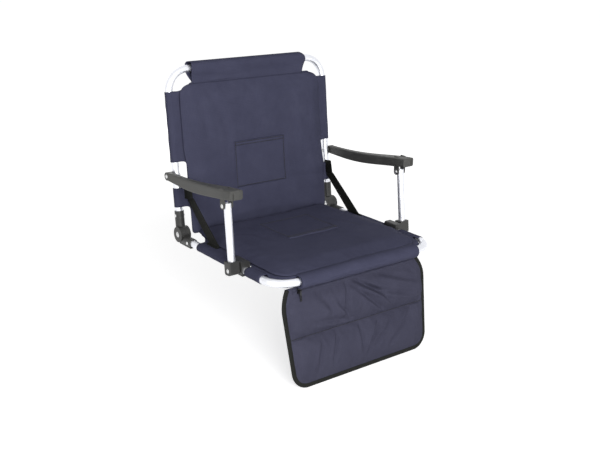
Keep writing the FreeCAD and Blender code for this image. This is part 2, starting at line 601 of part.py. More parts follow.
def pad_outline(half, v0, v1, corner0, corner1, draw, h):
    """A closed outline in a plane z = h with rounded corners and sides drawn in towards their middles."""
    m0 = corner0 * (1 - math.sqrt(0.5))
    m1 = corner1 * (1 - math.sqrt(0.5))
    mid = (v0 + v1) / 2
    edges = [
        arc((-half + corner0, v0, h), (0, v0 + draw, h), (half - corner0, v0, h)),
        arc((half - corner0, v0, h), (half - m0, v0 + m0, h), (half, v0 + corner0, h)),
        arc((half, v0 + corner0, h), (half - draw, mid, h), (half, v1 - corner1, h)),
        arc((half, v1 - corner1, h), (half - m1, v1 - m1, h), (half - corner1, v1, h)),
        arc((half - corner1, v1, h), (0, v1 - draw, h), (-half + corner1, v1, h)),
        arc((-half + corner1, v1, h), (-half + m1, v1 - m1, h), (-half, v1 - corner1, h)),
        arc((-half, v1 - corner1, h), (-half + draw, mid, h), (-half, v0 + corner0, h)),
        arc((-half, v0 + corner0, h), (-half + m0, v0 + m0, h), (-half + corner0, v0, h)),
    ]
    return Part.Wire(edges)


def pillow(half, v0, v1, corner0, corner1, draw, crown, shoulder, steps):
    """A crowned pad on z = 0. Each step is a share of the shoulder inwards and a share of the crown up."""
    wires = []
    for inward, up in steps:
        inset = inward * shoulder
        turn = 1 - CORNER_TAPER * inward
        wires.append(pad_outline(half - inset, v0 + inset, v1 - inset, corner0 * turn, corner1 * turn, draw,
                                 up * crown))
    return Part.makeLoft(wires, True, False)


PAD_STEPS = [(0.06, 0.0), (0.0, 0.2), (0.1, 0.42), (0.28, 0.66), (0.52, 0.86), (0.76, 0.965), (1.0, 1.0)]
CHANNEL_STEPS = [(0.0, 0.0), (0.08, 0.35), (0.26, 0.65), (0.52, 0.86), (0.76, 0.965), (1.0, 1.0)]


def back_pad():
    """The padded back panel, in front of the sling."""
    flat = pillow(PAD_HALF_BACK, PAD_CREASE, BACK_PAD_TOP, PAD_HEEL_CORNER, PAD_CORNER, PAD_DRAW_IN, PAD_CROWN,
                  PAD_SHOULDER, PAD_STEPS)
    return on_back(flat.rotated(ORIGIN, X_AXIS, 90).translated(V(0, BACK_SET - SLEEVE_OUT - CLOTH_GAP, 0)))


def seat_pad():
    """The padded seat panel, on the sling."""
    flat = pillow(PAD_HALF_SEAT, -SEAT_PAD_FRONT, -PAD_CREASE, PAD_CORNER, PAD_HEEL_CORNER, PAD_DRAW_IN,
                  PAD_CROWN, PAD_SHOULDER, PAD_STEPS)
    return flat.translated(V(0, 0, SEAT_Z + SLEEVE_OUT + CLOTH_GAP))


def back_pocket():
    """The square patch pocket on the back pad."""
    front = BACK_SET - SLEEVE_OUT - CLOTH_GAP - PAD_CROWN
    patch = box(-PATCH_HALF, PATCH_HALF, front - PATCH_THICKNESS, front, BACK_PATCH_START,
                BACK_PATCH_START + PATCH_HEIGHT)
    return on_back(patch)


def seat_pocket():
    """The square patch pocket on the seat pad."""
    top = SEAT_Z + SLEEVE_OUT + CLOTH_GAP + PAD_CROWN
    return box(-PATCH_HALF, PATCH_HALF, -SEAT_PATCH_START - PATCH_HEIGHT, -SEAT_PATCH_START, top,
               top + PATCH_THICKNESS)


def crease_gusset():
    """The cloth that joins the two pads round the crease."""
    start = PAD_CREASE - CLOTH_GAP
    rear_face = BACK_SET - SLEEVE_OUT - CLOTH_GAP
    floor = SEAT_Z + SLEEVE_OUT + CLOTH_GAP

    def back_point(up, out):
        y, z = lean(rear_face - out, up)
        return (-GUSSET_HALF, y, HINGE_Z + z)

    def seat_point(ahead, out):
        return (-GUSSET_HALF, -ahead, floor + out)

    def crease(out):
        lift = out + GUSSET_BEND * (1 - math.sqrt(0.5))
        return (-GUSSET_HALF, rear_face - lift, floor + lift)

    t = GUSSET_THICKNESS
    foot = GUSSET_BEND - rear_face
    edges = [
        line(back_point(start, 0), back_point(GUSSET_BEND, 0)),
        arc(back_point(GUSSET_BEND, 0), crease(0), seat_point(foot, 0)),
        line(seat_point(foot, 0), seat_point(start, 0)),
        line(seat_point(start, 0), seat_point(start, t)),
        line(seat_point(start, t), seat_point(foot, t)),
        arc(seat_point(foot, t), crease(t), back_point(GUSSET_BEND, t)),
        line(back_point(GUSSET_BEND, t), back_point(start, t)),
        line(back_point(start, t), back_point(start, 0)),
    ]
    return Part.Face(Part.Wire(edges)).extrude(V(2 * GUSSET_HALF, 0, 0))


def recline_strap():
    """The webbing strap, sewn to the edges of the slings beside the side tubes."""
    x = -HALF + SLEEVE_OUT + CLOTH_GAP
    seat = SLEEVE_OUT + CLOTH_GAP
    corners = []
    for up in STRAP_BACK:
        y, z = lean(BACK_SET - seat, up)
        corners.append((x, y, HINGE_Z + z))
    for ahead in reversed(STRAP_SEAT):
        corners.append((x, -ahead, SEAT_Z + seat))
    return polygon(corners).extrude(V(STRAP_THICKNESS, 0, 0))


def flap_face(inset):
    """The flap's outline, hanging in the plane y = 0, moved in from its sides and bottom."""
    top = FLAP_TOP_HALF - inset
    wide = FLAP_WIDE_HALF - inset
    low = FLAP_BOTTOM_HALF - inset
    bottom = -FLAP_HEIGHT + inset
    bulge = top + FLAP_SHOULDER_BULGE * (wide - top)
    bulge_z = -FLAP_WIDE_DOWN / 2
    r = FLAP_CORNER - inset
    m = r * (1 - math.sqrt(0.5))
    edges = [
        line((-top, 0, 0), (top, 0, 0)),
        arc((top, 0, 0), (bulge, 0, bulge_z), (wide, 0, -FLAP_WIDE_DOWN)),
        line((wide, 0, -FLAP_WIDE_DOWN), (low, 0, bottom + r)),
        arc((low, 0, bottom + r), (low - m, 0, bottom + m), (low - r, 0, bottom)),
        line((low - r, 0, bottom), (-low + r, 0, bottom)),
        arc((-low + r, 0, bottom), (-low + m, 0, bottom + m), (-low, 0, bottom + r)),
        line((-low, 0, bottom + r), (-wide, 0, -FLAP_WIDE_DOWN)),
        arc((-wide, 0, -FLAP_WIDE_DOWN), (-bulge, 0, bulge_z), (-top, 0, 0)),
    ]
    return Part.Face(Part.Wire(edges))


def slab(face, thickness):
    """A face of the plane y = 0 thickened evenly to both sides."""
    return face.translated(V(0, thickness / 2, 0)).extrude(V(0, -thickness, 0))


def flap_panel():
    """The padded flap: a panel with two puffed channels and a bead in its top hem."""
    half = FLAP_TOP_HALF - BINDING_WIDTH - CHANNEL_MARGIN
    seam = CHANNEL_SEAM_WIDTH / 2
    bottom = FLAP_HEIGHT - BINDING_WIDTH - CHANNEL_MARGIN
    low_corner = FLAP_CORNER - BINDING_WIDTH
    spans = [(-CHANNEL_SEAM + seam, -CHANNEL_TOP, CHANNEL_CORNER), (-bottom, -CHANNEL_SEAM - seam, low_corner)]
    puffs = []
    for v0, v1, corner in spans:
        puff = pillow(half, v0, v1, corner, CHANNEL_CORNER, 0.5, CHANNEL_CROWN, CHANNEL_SHOULDER, CHANNEL_STEPS)
        puffs.append(puff.rotated(ORIGIN, X_AXIS, 90).translated(V(0, -FLAP_RIM / 2, 0)))
    half_bead = HALF - BEND_RADIUS - ROLL_END_GAP
    bead = bar_x(0, 0, FLAP_BEAD, -half_bead, half_bead)
    return on_flap(join(slab(flap_face(0), FLAP_RIM), bead, *puffs))


def flap_binding():
    """The binding tape, folded over the flap's sides and bottom."""
    ring = flap_face(-BINDING_LIP).cut(flap_face(BINDING_WIDTH - BINDING_LIP))
    tape = slab(ring, FLAP_RIM + 2 * BINDING_LIP).cut(slab(flap_face(0), FLAP_RIM))
    return on_flap(tape.cut(bar_x(0, 0, FLAP_BEAD + CLOTH_GAP, -HALF, HALF)))


TAPE_FRONT = -FLAP_RIM / 2 - TAPE_THICKNESS
SLIDER_BACK = TAPE_FRONT - CHAIN_CLEARANCE
SLIDER_FRONT = SLIDER_BACK - SLIDER_DEPTH
BAIL_Y = SLIDER_FRONT - BAIL_STANDOFF


def flap_zipper():
    """The zipper's tape along the top of the flap, with the ridge of its chain."""
    tape = box(-ZIP_HALF, ZIP_HALF, TAPE_FRONT, -FLAP_RIM / 2, -ZIP_DOWN - TAPE_HALF_HEIGHT,
               -ZIP_DOWN + TAPE_HALF_HEIGHT)
    chain = bar_x(TAPE_FRONT, -ZIP_DOWN, CHAIN_RADIUS, -ZIP_HALF, ZIP_HALF)
    behind = box(-ZIP_HALF, ZIP_HALF, TAPE_FRONT, CHAIN_RADIUS, -ZIP_DOWN - CHAIN_RADIUS, -ZIP_DOWN + CHAIN_RADIUS)
    return on_flap(fuse(tape, chain.cut(behind)))


def zipper_slider():
    """The slider: a channelled body over the chain, with a bail that carries the pull."""
    x0 = -SLIDER_REST - SLIDER_HALF_LENGTH
    x1 = -SLIDER_REST + SLIDER_HALF_LENGTH
    body = box(x0, x1, SLIDER_FRONT, SLIDER_BACK, -ZIP_DOWN - SLIDER_HALF_HEIGHT,
               -ZIP_DOWN + SLIDER_HALF_HEIGHT)
    channel_half = CHAIN_RADIUS + CHAIN_CLEARANCE
    channel = box(x0, x1, TAPE_FRONT - channel_half, SLIDER_BACK, -ZIP_DOWN - channel_half,
                  -ZIP_DOWN + channel_half)
    bail = bar_x(BAIL_Y, -ZIP_DOWN, BAIL_RADIUS, x0, x1)
    legs = []
    for start in (x0, x1 - BAIL_LEG):
        legs.append(box(start, start + BAIL_LEG, BAIL_Y, SLIDER_FRONT, -ZIP_DOWN - BAIL_RADIUS,
                        -ZIP_DOWN + BAIL_RADIUS))
    return on_flap(fuse(body.cut(channel), bail, *legs))


def zipper_pull():
    """The pull tab: an eye round the bail and a flat tab with a window."""
    half = PULL_WIDTH / 2
    eye = bar_x(BAIL_Y, -ZIP_DOWN, PULL_EYE_RADIUS, -SLIDER_REST - half, -SLIDER_REST + half)
    tab = box(-SLIDER_REST - half, -SLIDER_REST + half, BAIL_Y - PULL_THICKNESS / 2,
              BAIL_Y + PULL_THICKNESS / 2, -ZIP_DOWN - PULL_LENGTH, -ZIP_DOWN)
    hole = bar_x(BAIL_Y, -ZIP_DOWN, BAIL_RADIUS + RUNNING_CLEARANCE, -SLIDER_REST - PULL_WIDTH,
                 -SLIDER_REST + PULL_WIDTH)
    window = box(-SLIDER_REST - PULL_WINDOW / 2, -SLIDER_REST + PULL_WINDOW / 2, BAIL_Y - PULL_WIDTH,
                 BAIL_Y + PULL_WIDTH, -ZIP_DOWN - PULL_LENGTH + PULL_WINDOW, -ZIP_DOWN - PULL_LENGTH / 2)
    return on_flap(fuse(eye, tab).cut([hole, window]))


def sided(name, shape):
    """A left piece and its mirrored right twin, under their own names."""
    return {"left_" + name: shape, "right_" + name: mirrored(shape)}


def build():
    """Every node of the seat by name."""
    nodes = {
        "seat_frame_tube": seat_frame_tube(),
        "back_frame_tube": back_frame_tube(),
        "hinge_pins": pair(hinge_pin()),
        "seat_socket_rivets": pair(socket_rivet(SEAT_RIVET_Y, SEAT_Z)),
        "back_socket_rivets": pair(on_back(socket_rivet(BACK_SET, BACK_RIVET_Z))),
        "post_rivets": pair(post_rivet()),
        "armrest_rear_rivets": pair(armrest_rear_rivet()),
        "armrest_spacers": pair(armrest_spacer()),
        "seat_sling": seat_sling(),
        "front_sleeve": front_sleeve(),
        "seat_pad": seat_pad(),
        "seat_pocket": seat_pocket(),
        "back_sling": back_sling(),
        "top_sleeve": top_sleeve(),
        "back_pad": back_pad(),
        "back_pocket": back_pocket(),
        "crease_gusset": crease_gusset(),
        "flap_panel": flap_panel(),
        "flap_binding": flap_binding(),
        "flap_zipper": flap_zipper(),
        "zipper_slider": zipper_slider(),
        "zipper_pull": zipper_pull(),
    }
    nodes.update(sided("hinge_back_knuckle", back_knuckle()))
    nodes.update(sided("hinge_seat_knuckle", seat_knuckle()))
    nodes.update(sided("seat_clamp", seat_clamp()))
    nodes.update(sided("arm_post", arm_post()))
    nodes.update(sided("post_boot", post_boot()))
    nodes.update(sided("armrest", armrest()))
    nodes.update(sided("armrest_front_rivet", armrest_front_rivet()))
    nodes.update(sided("recline_strap", recline_strap()))
    return nodes


def main():
    """Write one file for each node and list its solids, volume and box."""
    os.makedirs("parts", exist_ok=True)
    for name, shape in sorted(build().items()):
        shape.exportStep(os.path.join("parts", name + ".step"))
        b = shape.optimalBoundingBox(False, False)
        place = "x %.1f..%.1f y %.1f..%.1f z %.1f..%.1f" % (b.XMin, b.XMax, b.YMin, b.YMax, b.ZMin, b.ZMax)
        print(name, len(shape.Solids), "solids, valid", shape.isValid(), round(shape.Volume), "mm3,", place)


main()
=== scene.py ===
"""Looks of a folding stadium seat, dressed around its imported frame.

Sizes are millimetres unless a name says otherwise. Each cloth panel has flat coordinates of its own: x across
the seat, along the panel from the fold (for the flap, down from its seam), and out of it towards the sitter.
"""

import logging
import math
from dataclasses import dataclass
from enum import Enum

import bmesh
import bpy
import numpy as np
from mathutils import Matrix, Vector
from mathutils.bvhtree import BVHTree


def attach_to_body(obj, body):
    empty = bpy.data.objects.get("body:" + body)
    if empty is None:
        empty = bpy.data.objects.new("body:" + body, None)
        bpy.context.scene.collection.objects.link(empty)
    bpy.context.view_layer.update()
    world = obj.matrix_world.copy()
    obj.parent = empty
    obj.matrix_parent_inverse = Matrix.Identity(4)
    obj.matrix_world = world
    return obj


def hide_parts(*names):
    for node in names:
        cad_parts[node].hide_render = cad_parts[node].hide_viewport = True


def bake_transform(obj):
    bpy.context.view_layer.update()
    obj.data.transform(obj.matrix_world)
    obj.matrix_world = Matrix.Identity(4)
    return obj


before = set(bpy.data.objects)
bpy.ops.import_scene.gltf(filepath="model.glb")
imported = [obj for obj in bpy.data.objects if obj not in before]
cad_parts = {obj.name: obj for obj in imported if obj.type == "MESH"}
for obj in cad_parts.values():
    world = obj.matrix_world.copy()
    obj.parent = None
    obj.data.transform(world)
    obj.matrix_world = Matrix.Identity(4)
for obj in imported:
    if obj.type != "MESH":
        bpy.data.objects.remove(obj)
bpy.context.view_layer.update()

Array = np.ndarray
Object = bpy.types.Object
Material = bpy.types.Material
Tree = bpy.types.NodeTree
Socket = bpy.types.NodeSocket
Pairs = tuple[tuple[float, float], ...]
Outline = Pairs  # of along and half width

MM = 0.001
HALF = 242.0  # middle of the seat to the centre of a side tube
SEAT_Z = 12.0
HINGE_Z = 24.0
BACK_SET = 7.0
RECLINE = math.radians(6.0)
SEAT_DEPTH = 419.0
BACK_HEIGHT = 415.0
FLAP_Y = -400.0
FLAP_Z = -8.0
FLAP_SLANT = math.radians(10.0)
CLOTH_TOP = 11.0  # outer face of the slings, from the tubes' centres
WELD = 2e-5  # metres
WHITE = (1.0, 1.0, 1.0, 1.0)
BLACK = (0.0, 0.0, 0.0, 1.0)
ONE_BAND = 10 / 63  # scale at which a wave texture has one band in a unit
COVER_RULES = {"quality": 6, "mass": 0.01, "tension_stiffness": 12.0, "compression_stiffness": 12.0,
               "shear_stiffness": 4.0, "bending_stiffness": 0.05, "air_damping": 3.0, "use_pressure": True}


def grid(*parts: Array | float) -> Array:
    """Spreads coordinates over one another and joins them into points."""
    return np.stack(np.broadcast_arrays(*parts), axis=-1)


def run_of(line: Array) -> Array:
    """How far along a line each of its points lies."""
    return np.concatenate([[0], np.cumsum(np.linalg.norm(np.diff(line, axis=0), axis=1))])


class Panel(Enum):
    """The three cloth panels, named for their bodies, each with flat coordinates of its own."""

    SEAT = "seat"
    BACK = "back"
    FLAP = "flap"

    def axes(self) -> tuple[Array, Array]:
        """Finds the panel's place in the frame.

        Returns:
            Where its coordinates start, in millimetres, and the directions of x, along and out.
        """
        if self is Panel.SEAT:
            start, along, out = (0.0, SEAT_Z), (-1.0, 0.0), (0.0, 1.0)
        elif self is Panel.BACK:
            c, s = math.cos(RECLINE), math.sin(RECLINE)
            start, along, out = (BACK_SET * c, HINGE_Z - BACK_SET * s), (s, c), (-c, s)
        else:
            c, s = math.cos(FLAP_SLANT), math.sin(FLAP_SLANT)
            start, along, out = (FLAP_Y, FLAP_Z), (-s, -c), (-c, s)
        return np.array([0.0, *start]), np.array([[1.0, 0.0, 0.0], [0.0, *along], [0.0, *out]])

    def place(self, x: Array | float, along: Array | float, out: Array | float) -> Array:
        """Points of the panel in the frame, in metres."""
        start, ways = self.axes()
        return (start + grid(x, along, out) @ ways) * MM

    def flat(self, points: Array) -> Array:
        """Moves points of the frame, in metres, back into the panel's flat coordinates."""
        start, ways = self.axes()
        return (points / MM - start) @ ways.T


FOLD = "fold"  # marks a piece that lies across the crease between the back and the seat; such a piece is left unparented
FOLD_START = Vector(Panel.BACK.place(0, 105, 14))
FOLD_END = Vector(Panel.SEAT.place(0, 105, 14))


def linear(code: str) -> tuple[float, float, float, float]:
    """Turns an sRGB hex colour such as #4a4a66 into linear RGBA."""
    parts = [int(code[i:i + 2], 16) / 255 for i in (1, 3, 5)]
    return tuple(c / 12.92 if c <= 0.04045 else ((c + 0.055) / 1.055) ** 2.4 for c in parts) + (1.0,)


def add(tree: Tree, kind: str, values: dict | None = None, **settings) -> bpy.types.Node:
    """Adds a node with its settings and links.

    Args:
        tree: the node tree.
        kind: the node's type name.
        values: for an input's name or number, a value to set or a socket to link from.
        settings: properties of the node itself.

    Returns:
        The new node.
    """
    node = tree.nodes.new(kind)
    for name, value in settings.items():
        setattr(node, name, value)
    for key, value in (values or {}).items():
        if isinstance(value, bpy.types.NodeSocket):
            tree.links.new(value, node.inputs[key])
        else:
            node.inputs[key].default_value = value
    return node


def blank(name: str) -> tuple[Material, Tree]:
    """Makes an empty node material.

    Args:
        name: of the material.

    Returns:
        The material and its node tree.
    """
    material = bpy.data.materials.new(name)
    material.use_nodes = True
    material.node_tree.nodes.clear()
    return material, material.node_tree


def shade(tree: Tree, values: dict) -> None:
    """Ends a material's tree with one principled shader."""
    shader = add(tree, "ShaderNodeBsdfPrincipled", values)
    add(tree, "ShaderNodeOutputMaterial", {"Surface": shader.outputs[0]})


def ramp(tree: Tree, factor: Socket, *stops: tuple[float, str]) -> Socket:
    """Turns a factor into colours.

    Args:
        tree: the material's node tree.
        factor: the socket that drives the colour.
        stops: places from 0 to 1 with their sRGB hex colours.

    Returns:
        The colour socket.
    """
    node = add(tree, "ShaderNodeValToRGB", {"Fac": factor})
    while len(node.color_ramp.elements) < len(stops):
        node.color_ramp.elements.new(0.5)
    for element, (place, code) in zip(node.color_ramp.elements, stops):
        element.position = place
        element.color = linear(code)
    return node.outputs["Color"]


def on_cloth(tree: Tree) -> Socket:
    """Places on the cloth, in metres along its threads."""
    return add(tree, "ShaderNodeUVMap", uv_map="cloth").outputs["UV"]


def on_object(tree: Tree) -> Socket:
    """Places in the part, in metres."""
    return add(tree, "ShaderNodeTexCoord").outputs["Object"]


def bands(tree: Tree, place: Socket, pitch: float, way: str, bend: float) -> Socket:
    """Soft bands across one direction, such as threads."""
    values = {"Vector": place, "Scale": ONE_BAND / (pitch * MM), "Distortion": bend, "Detail": 1.0}
    return add(tree, "ShaderNodeTexWave", values, bands_direction=way).outputs["Fac"]


def clouds(tree: Tree, place: Socket, size: float, detail: float, roughness: float = 0.5) -> Socket:
    """Uneven patches of about one size."""
    values = {"Vector": place, "Scale": 1 / (size * MM), "Detail": detail, "Roughness": roughness}
    return add(tree, "ShaderNodeTexNoise", values).outputs["Fac"]


def mix(tree: Tree, factor: Socket | float, first: Socket, second: Socket) -> Socket:
    """Fades from one value to another; inputs 2 and 3 of the node hold single numbers."""
    return add(tree, "ShaderNodeMix", {"Factor": factor, 2: first, 3: second}, data_type="FLOAT").outputs[0]


def remap(tree: Tree, value: Socket, low: float, high: float, start: float = 0.0, end: float = 1.0) -> Socket:
    """Turns values from start to end into values from low to high."""
    values = {"Value": value, "From Min": start, "From Max": end, "To Min": low, "To Max": high}
    return add(tree, "ShaderNodeMapRange", values).outputs[0]


def relief(tree: Tree, height: Socket, strength: float, depth: float) -> Socket:
    """Tilts the surface as if it had a small height."""
    values = {"Height": height, "Strength": strength, "Distance": depth * MM}
    return add(tree, "ShaderNodeBump", values).outputs["Normal"]


@dataclass(frozen=True)
class WovenCloth:
    """A plain woven polyester, laid out on the cloth's own coordinates."""

    name: str
    deep: str
    plain: str
    bright: str
    pitch: float = 2.0  # the threads are 0.5 apart; drawn four times coarser so that they show at all
    mottle: float = 90.0
    depth: float = 0.25
    thread_share: float = 0.15  # of the tone that the threads give, where the dye gives the rest
    roughness: float = 0.82
    sheen: float = 0.03

    def material(self) -> Material:
        """Crossing threads with a soft unevenness of dye, matt with a faint sheen at grazing angles.

        Returns:
            The material.
        """
        material, tree = blank(self.name)
        place = on_cloth(tree)
        check = add(tree, "ShaderNodeTexChecker", {"Vector": place, "Scale": 1 / (self.pitch * MM),
                                                   "Color1": WHITE, "Color2": BLACK})
        warp, weft = [bands(tree, place, self.pitch, way, 0.6) for way in ("X", "Y")]
        thread = mix(tree, check.outputs["Fac"], warp, weft)
        tone = mix(tree, self.thread_share, clouds(tree, place, self.mottle, 4.0, 0.65), thread)
        colour = ramp(tree, tone, (0.25, self.deep), (0.5, self.plain), (0.75, self.bright))
        shade(tree, {"Base Color": colour, "Roughness": self.roughness, "Specular IOR Level": 0.08,
                     "Normal": relief(tree, thread, 0.35, self.depth), "Sheen Weight": self.sheen,
                     "Sheen Roughness": 0.5, "Sheen Tint": linear(self.bright)})
        return material


@dataclass(frozen=True)
class Webbing:
    """A ribbed woven tape."""

    name: str
    deep: str
    plain: str
    rib: float = 2.4  # the ribs are 1.2 apart; drawn twice as wide so that they show
    fuzz: float = 6.0
    depth: float = 0.4
    roughness: float = 0.7

    def material(self) -> Material:
        """Fine ribs across the tape, with a dull shine on each.

        Returns:
            The material.
        """
        material, tree = blank(self.name)
        place = on_cloth(tree)
        ribs = bands(tree, place, self.rib, "Y", 0.8)
        tone = mix(tree, 0.5, ribs, clouds(tree, place, self.fuzz, 3.0))
        shade(tree, {"Base Color": ramp(tree, tone, (0.2, self.deep), (0.8, self.plain)),
                     "Roughness": self.roughness, "Normal": relief(tree, ribs, 0.5, self.depth),
                     "Specular IOR Level": 0.2})
        return material


@dataclass(frozen=True)
class Moulding:
    """A moulded plastic with a fine grained skin."""

    name: str
    deep: str
    plain: str
    grain: float = 1.6  # the real grain is 0.4 across; drawn coarser so that it shows
    flow: float = 35.0
    depth: float = 0.15
    roughness: float = 0.5

    def material(self) -> Material:
        """A pebbled skin with a broken highlight, and slow changes of tone from the mould's flow.

        Returns:
            The material.
        """
        material, tree = blank(self.name)
        place = on_object(tree)
        pebble = add(tree, "ShaderNodeTexVoronoi", {"Vector": place, "Scale": 1 / (self.grain * MM)},
                     feature="SMOOTH_F1")
        flow = clouds(tree, place, self.flow, 5.0, 0.6)
        shade(tree, {"Base Color": ramp(tree, flow, (0.3, self.deep), (0.7, self.plain)),
                     "Roughness": remap(tree, flow, self.roughness - 0.08, self.roughness + 0.1),
                     "Normal": relief(tree, pebble.outputs["Distance"], 0.4, self.depth), "IOR": 1.5})
        return material


@dataclass(frozen=True)
class Metal:
    """A bare metal."""

    name: str
    deep: str
    plain: str
    streak: float = 30.0
    roughness: float = 0.3

    def material(self) -> Material:
        """Bright metal whose shine is slightly uneven from handling.

        Returns:
            The material.
        """
        material, tree = blank(self.name)
        wear = clouds(tree, on_object(tree), self.streak, 6.0, 0.7)
        shade(tree, {"Base Color": ramp(tree, wear, (0.3, self.deep), (0.65, self.plain)), "Metallic": 1.0,
                     "Roughness": remap(tree, wear, self.roughness - 0.07, self.roughness + 0.1)})
        return material


class Finish(Enum):
    """The finishes of the seat."""

    # Navy polyester duck: matt, slightly violet where light grazes it.
    CLOTH = WovenCloth("navy_polyester_duck_woven", "#3e3f52", "#434458", "#494a5e")
    # The same cloth on the flap, a little greyer, and coloured a little darker than the seat's cloth as
    # painted shade on the hanging flap.
    FLAP = WovenCloth("navy_polyester_duck_quilted", "#3d3d4d", "#424252", "#474758")
    # Black webbing: dense ribs that swallow light.
    WEBBING = Webbing("black_polypropylene_webbing_woven", "#0a0b09", "#161713")
    # Folded binding tape: finer ribs, a touch greyer.
    BINDING = Webbing("black_grosgrain_binding_woven", "#0f100e", "#1c1d1a", rib=1.8)
    # Charcoal armrests: a dull pebbled skin.
    ARMREST = Moulding("charcoal_polypropylene_moulded", "#363634", "#444442")
    # Black hinges, clamps and boots: smoother and darker than the armrests.
    HINGE = Moulding("black_nylon_moulded", "#242424", "#333332", roughness=0.42)
    # Anodised tube: pale and satin, nearly white under studio light.
    TUBE = Metal("clear_anodised_aluminium_drawn", "#e2e4ea", "#f1f2f8", roughness=0.38)
    # Zinc plated rivet heads: small and bright.
    RIVET = Metal("zinc_plated_steel_rolled", "#b9babb", "#dcdcdc", streak=8.0, roughness=0.25)
    # Zipper slider: a dark lacquer that still shines like metal.
    ZIPPER = Metal("lacquered_zinc_die_cast", "#2b2b2c", "#48484a", streak=5.0, roughness=0.35)
    # Zipper teeth: dull coils, a shade darker than the cloth beside them.
    TEETH = Moulding("navy_nylon_coil_moulded", "#2c2c3f", "#3a3a50", grain=0.8, roughness=0.6)
    # Sewing thread: a tight dark twist that draws a line round each pocket and along the flap's seam. Its
    # stitches are drawn wide and close, so that this dark line is partly painted shade of the seam groove.
    THREAD = Moulding("black_polyester_thread_twisted", "#14141d", "#1f1f2b", grain=0.8, roughness=0.6)

    def material(self) -> Material:
        """The finish's material, made once."""
        return bpy.data.materials.get(self.value.name) or self.value.material()


def dress(piece: Object, finish: Finish) -> None:
    """Gives every face of a piece one finish."""
    piece.data.materials.clear()
    piece.data.materials.append(finish.material())


def attach(piece: Object, finish: Finish, slot: str, body: str, *nodes: str) -> None:
    """Dresses a piece, fixes it to the frame and hides the frame's parts that it replaces.

    Args:
        piece: the piece.
        finish: of all its faces.
        slot: not used.
        body: that it rides on, or FOLD for a piece across the crease between the back and the seat, which is
            left unparented.
        nodes: of the frame that it replaces.
    """
    dress(piece, finish)
    if body == FOLD:
        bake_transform(piece)
    else:
        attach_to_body(piece, body)
    if nodes:
        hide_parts(*nodes)
    logging.info("built %s", piece.name)


def new_object(name: str, data: bpy.types.ID) -> Object:
    """Puts a mesh, lamp or camera into the scene.

    Args:
        name: of the new object.
        data: what it shows.

    Returns:
        The new object.
    """
    thing = bpy.data.objects.new(name, data)
    bpy.context.collection.objects.link(thing)
    return thing


class Patchwork:
    """Grids of quads gathered into one mesh, each with its own cloth coordinates."""

    def __init__(self) -> None:
        """Starts with no cloth."""
        self.points: list[Array] = []
        self.cloth: list[Array] = []
        self.held: list[Array] = []
        self.faces: list[Array] = []
        self.count = 0
        self.area = 0.0

    def lay(self, points: Array, cloth: Array, held: Array | float = 0.0) -> "Patchwork":
        """Adds one grid.

        Args:
            points: rows of points in metres.
            cloth: rows of cloth coordinates in millimetres.
            held: how firmly each point is sewn down, from 0 to 1.

        Returns:
            The patchwork itself.
        """
        rows, columns = points.shape[:2]
        index = np.arange(rows * columns).reshape(rows, columns) + self.count
        corners = [index[:-1, :-1], index[:-1, 1:], index[1:, 1:], index[1:, :-1]]
        self.points.append(points.reshape(-1, 3))
        self.cloth.append(cloth.reshape(-1, 2) * MM)
        self.held.append(np.broadcast_to(held, (rows, columns)).reshape(-1))
        self.faces.append(np.stack(corners, axis=-1).reshape(-1, 4))
        self.count += rows * columns
        one = np.cross(points[1:, 1:] - points[:-1, :-1], points[1:, :-1] - points[:-1, 1:])
        self.area += float(np.linalg.norm(one, axis=-1).sum() / 2)
        return self

    def piece(self, name: str) -> Object:
        """Sews the grids into one object, with doubles merged and normals made consistent.

        Args:
            name: of the object.

        Returns:
            The object.
        """
        mesh = bpy.data.meshes.new(name)
        mesh.from_pydata(np.concatenate(self.points).tolist(), [], np.concatenate(self.faces).tolist())
        corners = np.empty(len(mesh.loops), int)
        mesh.loops.foreach_get("vertex_index", corners)
        layer = mesh.uv_layers.new(name="cloth")
        layer.data.foreach_set("uv", np.concatenate(self.cloth)[corners].ravel())
        held = mesh.attributes.new("held", "FLOAT", "POINT")
        held.data.foreach_set("value", np.concatenate(self.held))
        shell = bmesh.new()
        shell.from_mesh(mesh)
        bmesh.ops.remove_doubles(shell, verts=shell.verts, dist=WELD)
        bmesh.ops.dissolve_degenerate(shell, edges=shell.edges, dist=WELD)
        bmesh.ops.recalc_face_normals(shell, faces=shell.faces)
        shell.to_mesh(mesh)
        shell.free()
        mesh.shade_smooth()
        return new_object(name, mesh)


def settle(piece: Object) -> None:
    """Turns a piece's modifiers into plain mesh.

    Args:
        piece: with its modifiers.
    """
    graph = bpy.context.evaluated_depsgraph_get()
    shape = piece.evaluated_get(graph)
    mesh = bpy.data.meshes.new_from_object(shape, preserve_all_data_layers=True, depsgraph=graph)
    piece.modifiers.clear()
    old = piece.data
    piece.data = mesh
    bpy.data.meshes.remove(old)
    mesh.name = piece.name
    mesh.shade_smooth()


def round_off(piece: Object) -> None:
    """Subdivides a piece smoothly, once.

    Args:
        piece: to round off.
    """
    smooth = piece.modifiers.new("smooth", "SUBSURF")
    smooth.levels = smooth.render_levels = 1
    settle(piece)


def thicken(piece: Object, thickness: float) -> None:
    """Rounds a sheet and gives it its thickness, evenly to both sides.

    Args:
        piece: the sheet.
        thickness: in millimetres.
    """
    round_off(piece)
    wall = piece.modifiers.new("wall", "SOLIDIFY")
    wall.thickness = thickness * MM
    wall.offset = 0.0
    settle(piece)


def spots(mesh: bpy.types.Mesh) -> Array:
    """The places of a mesh's vertices.

    Args:
        mesh: any mesh.

    Returns:
        A row for each vertex, in metres.
    """
    flat = np.empty(len(mesh.vertices) * 3)
    mesh.vertices.foreach_get("co", flat)
    return flat.reshape(-1, 3)


def move_to(piece: Object, points: Array) -> None:
    """Puts a piece's vertices at new places."""
    piece.data.vertices.foreach_set("co", points.ravel())
    piece.data.update()


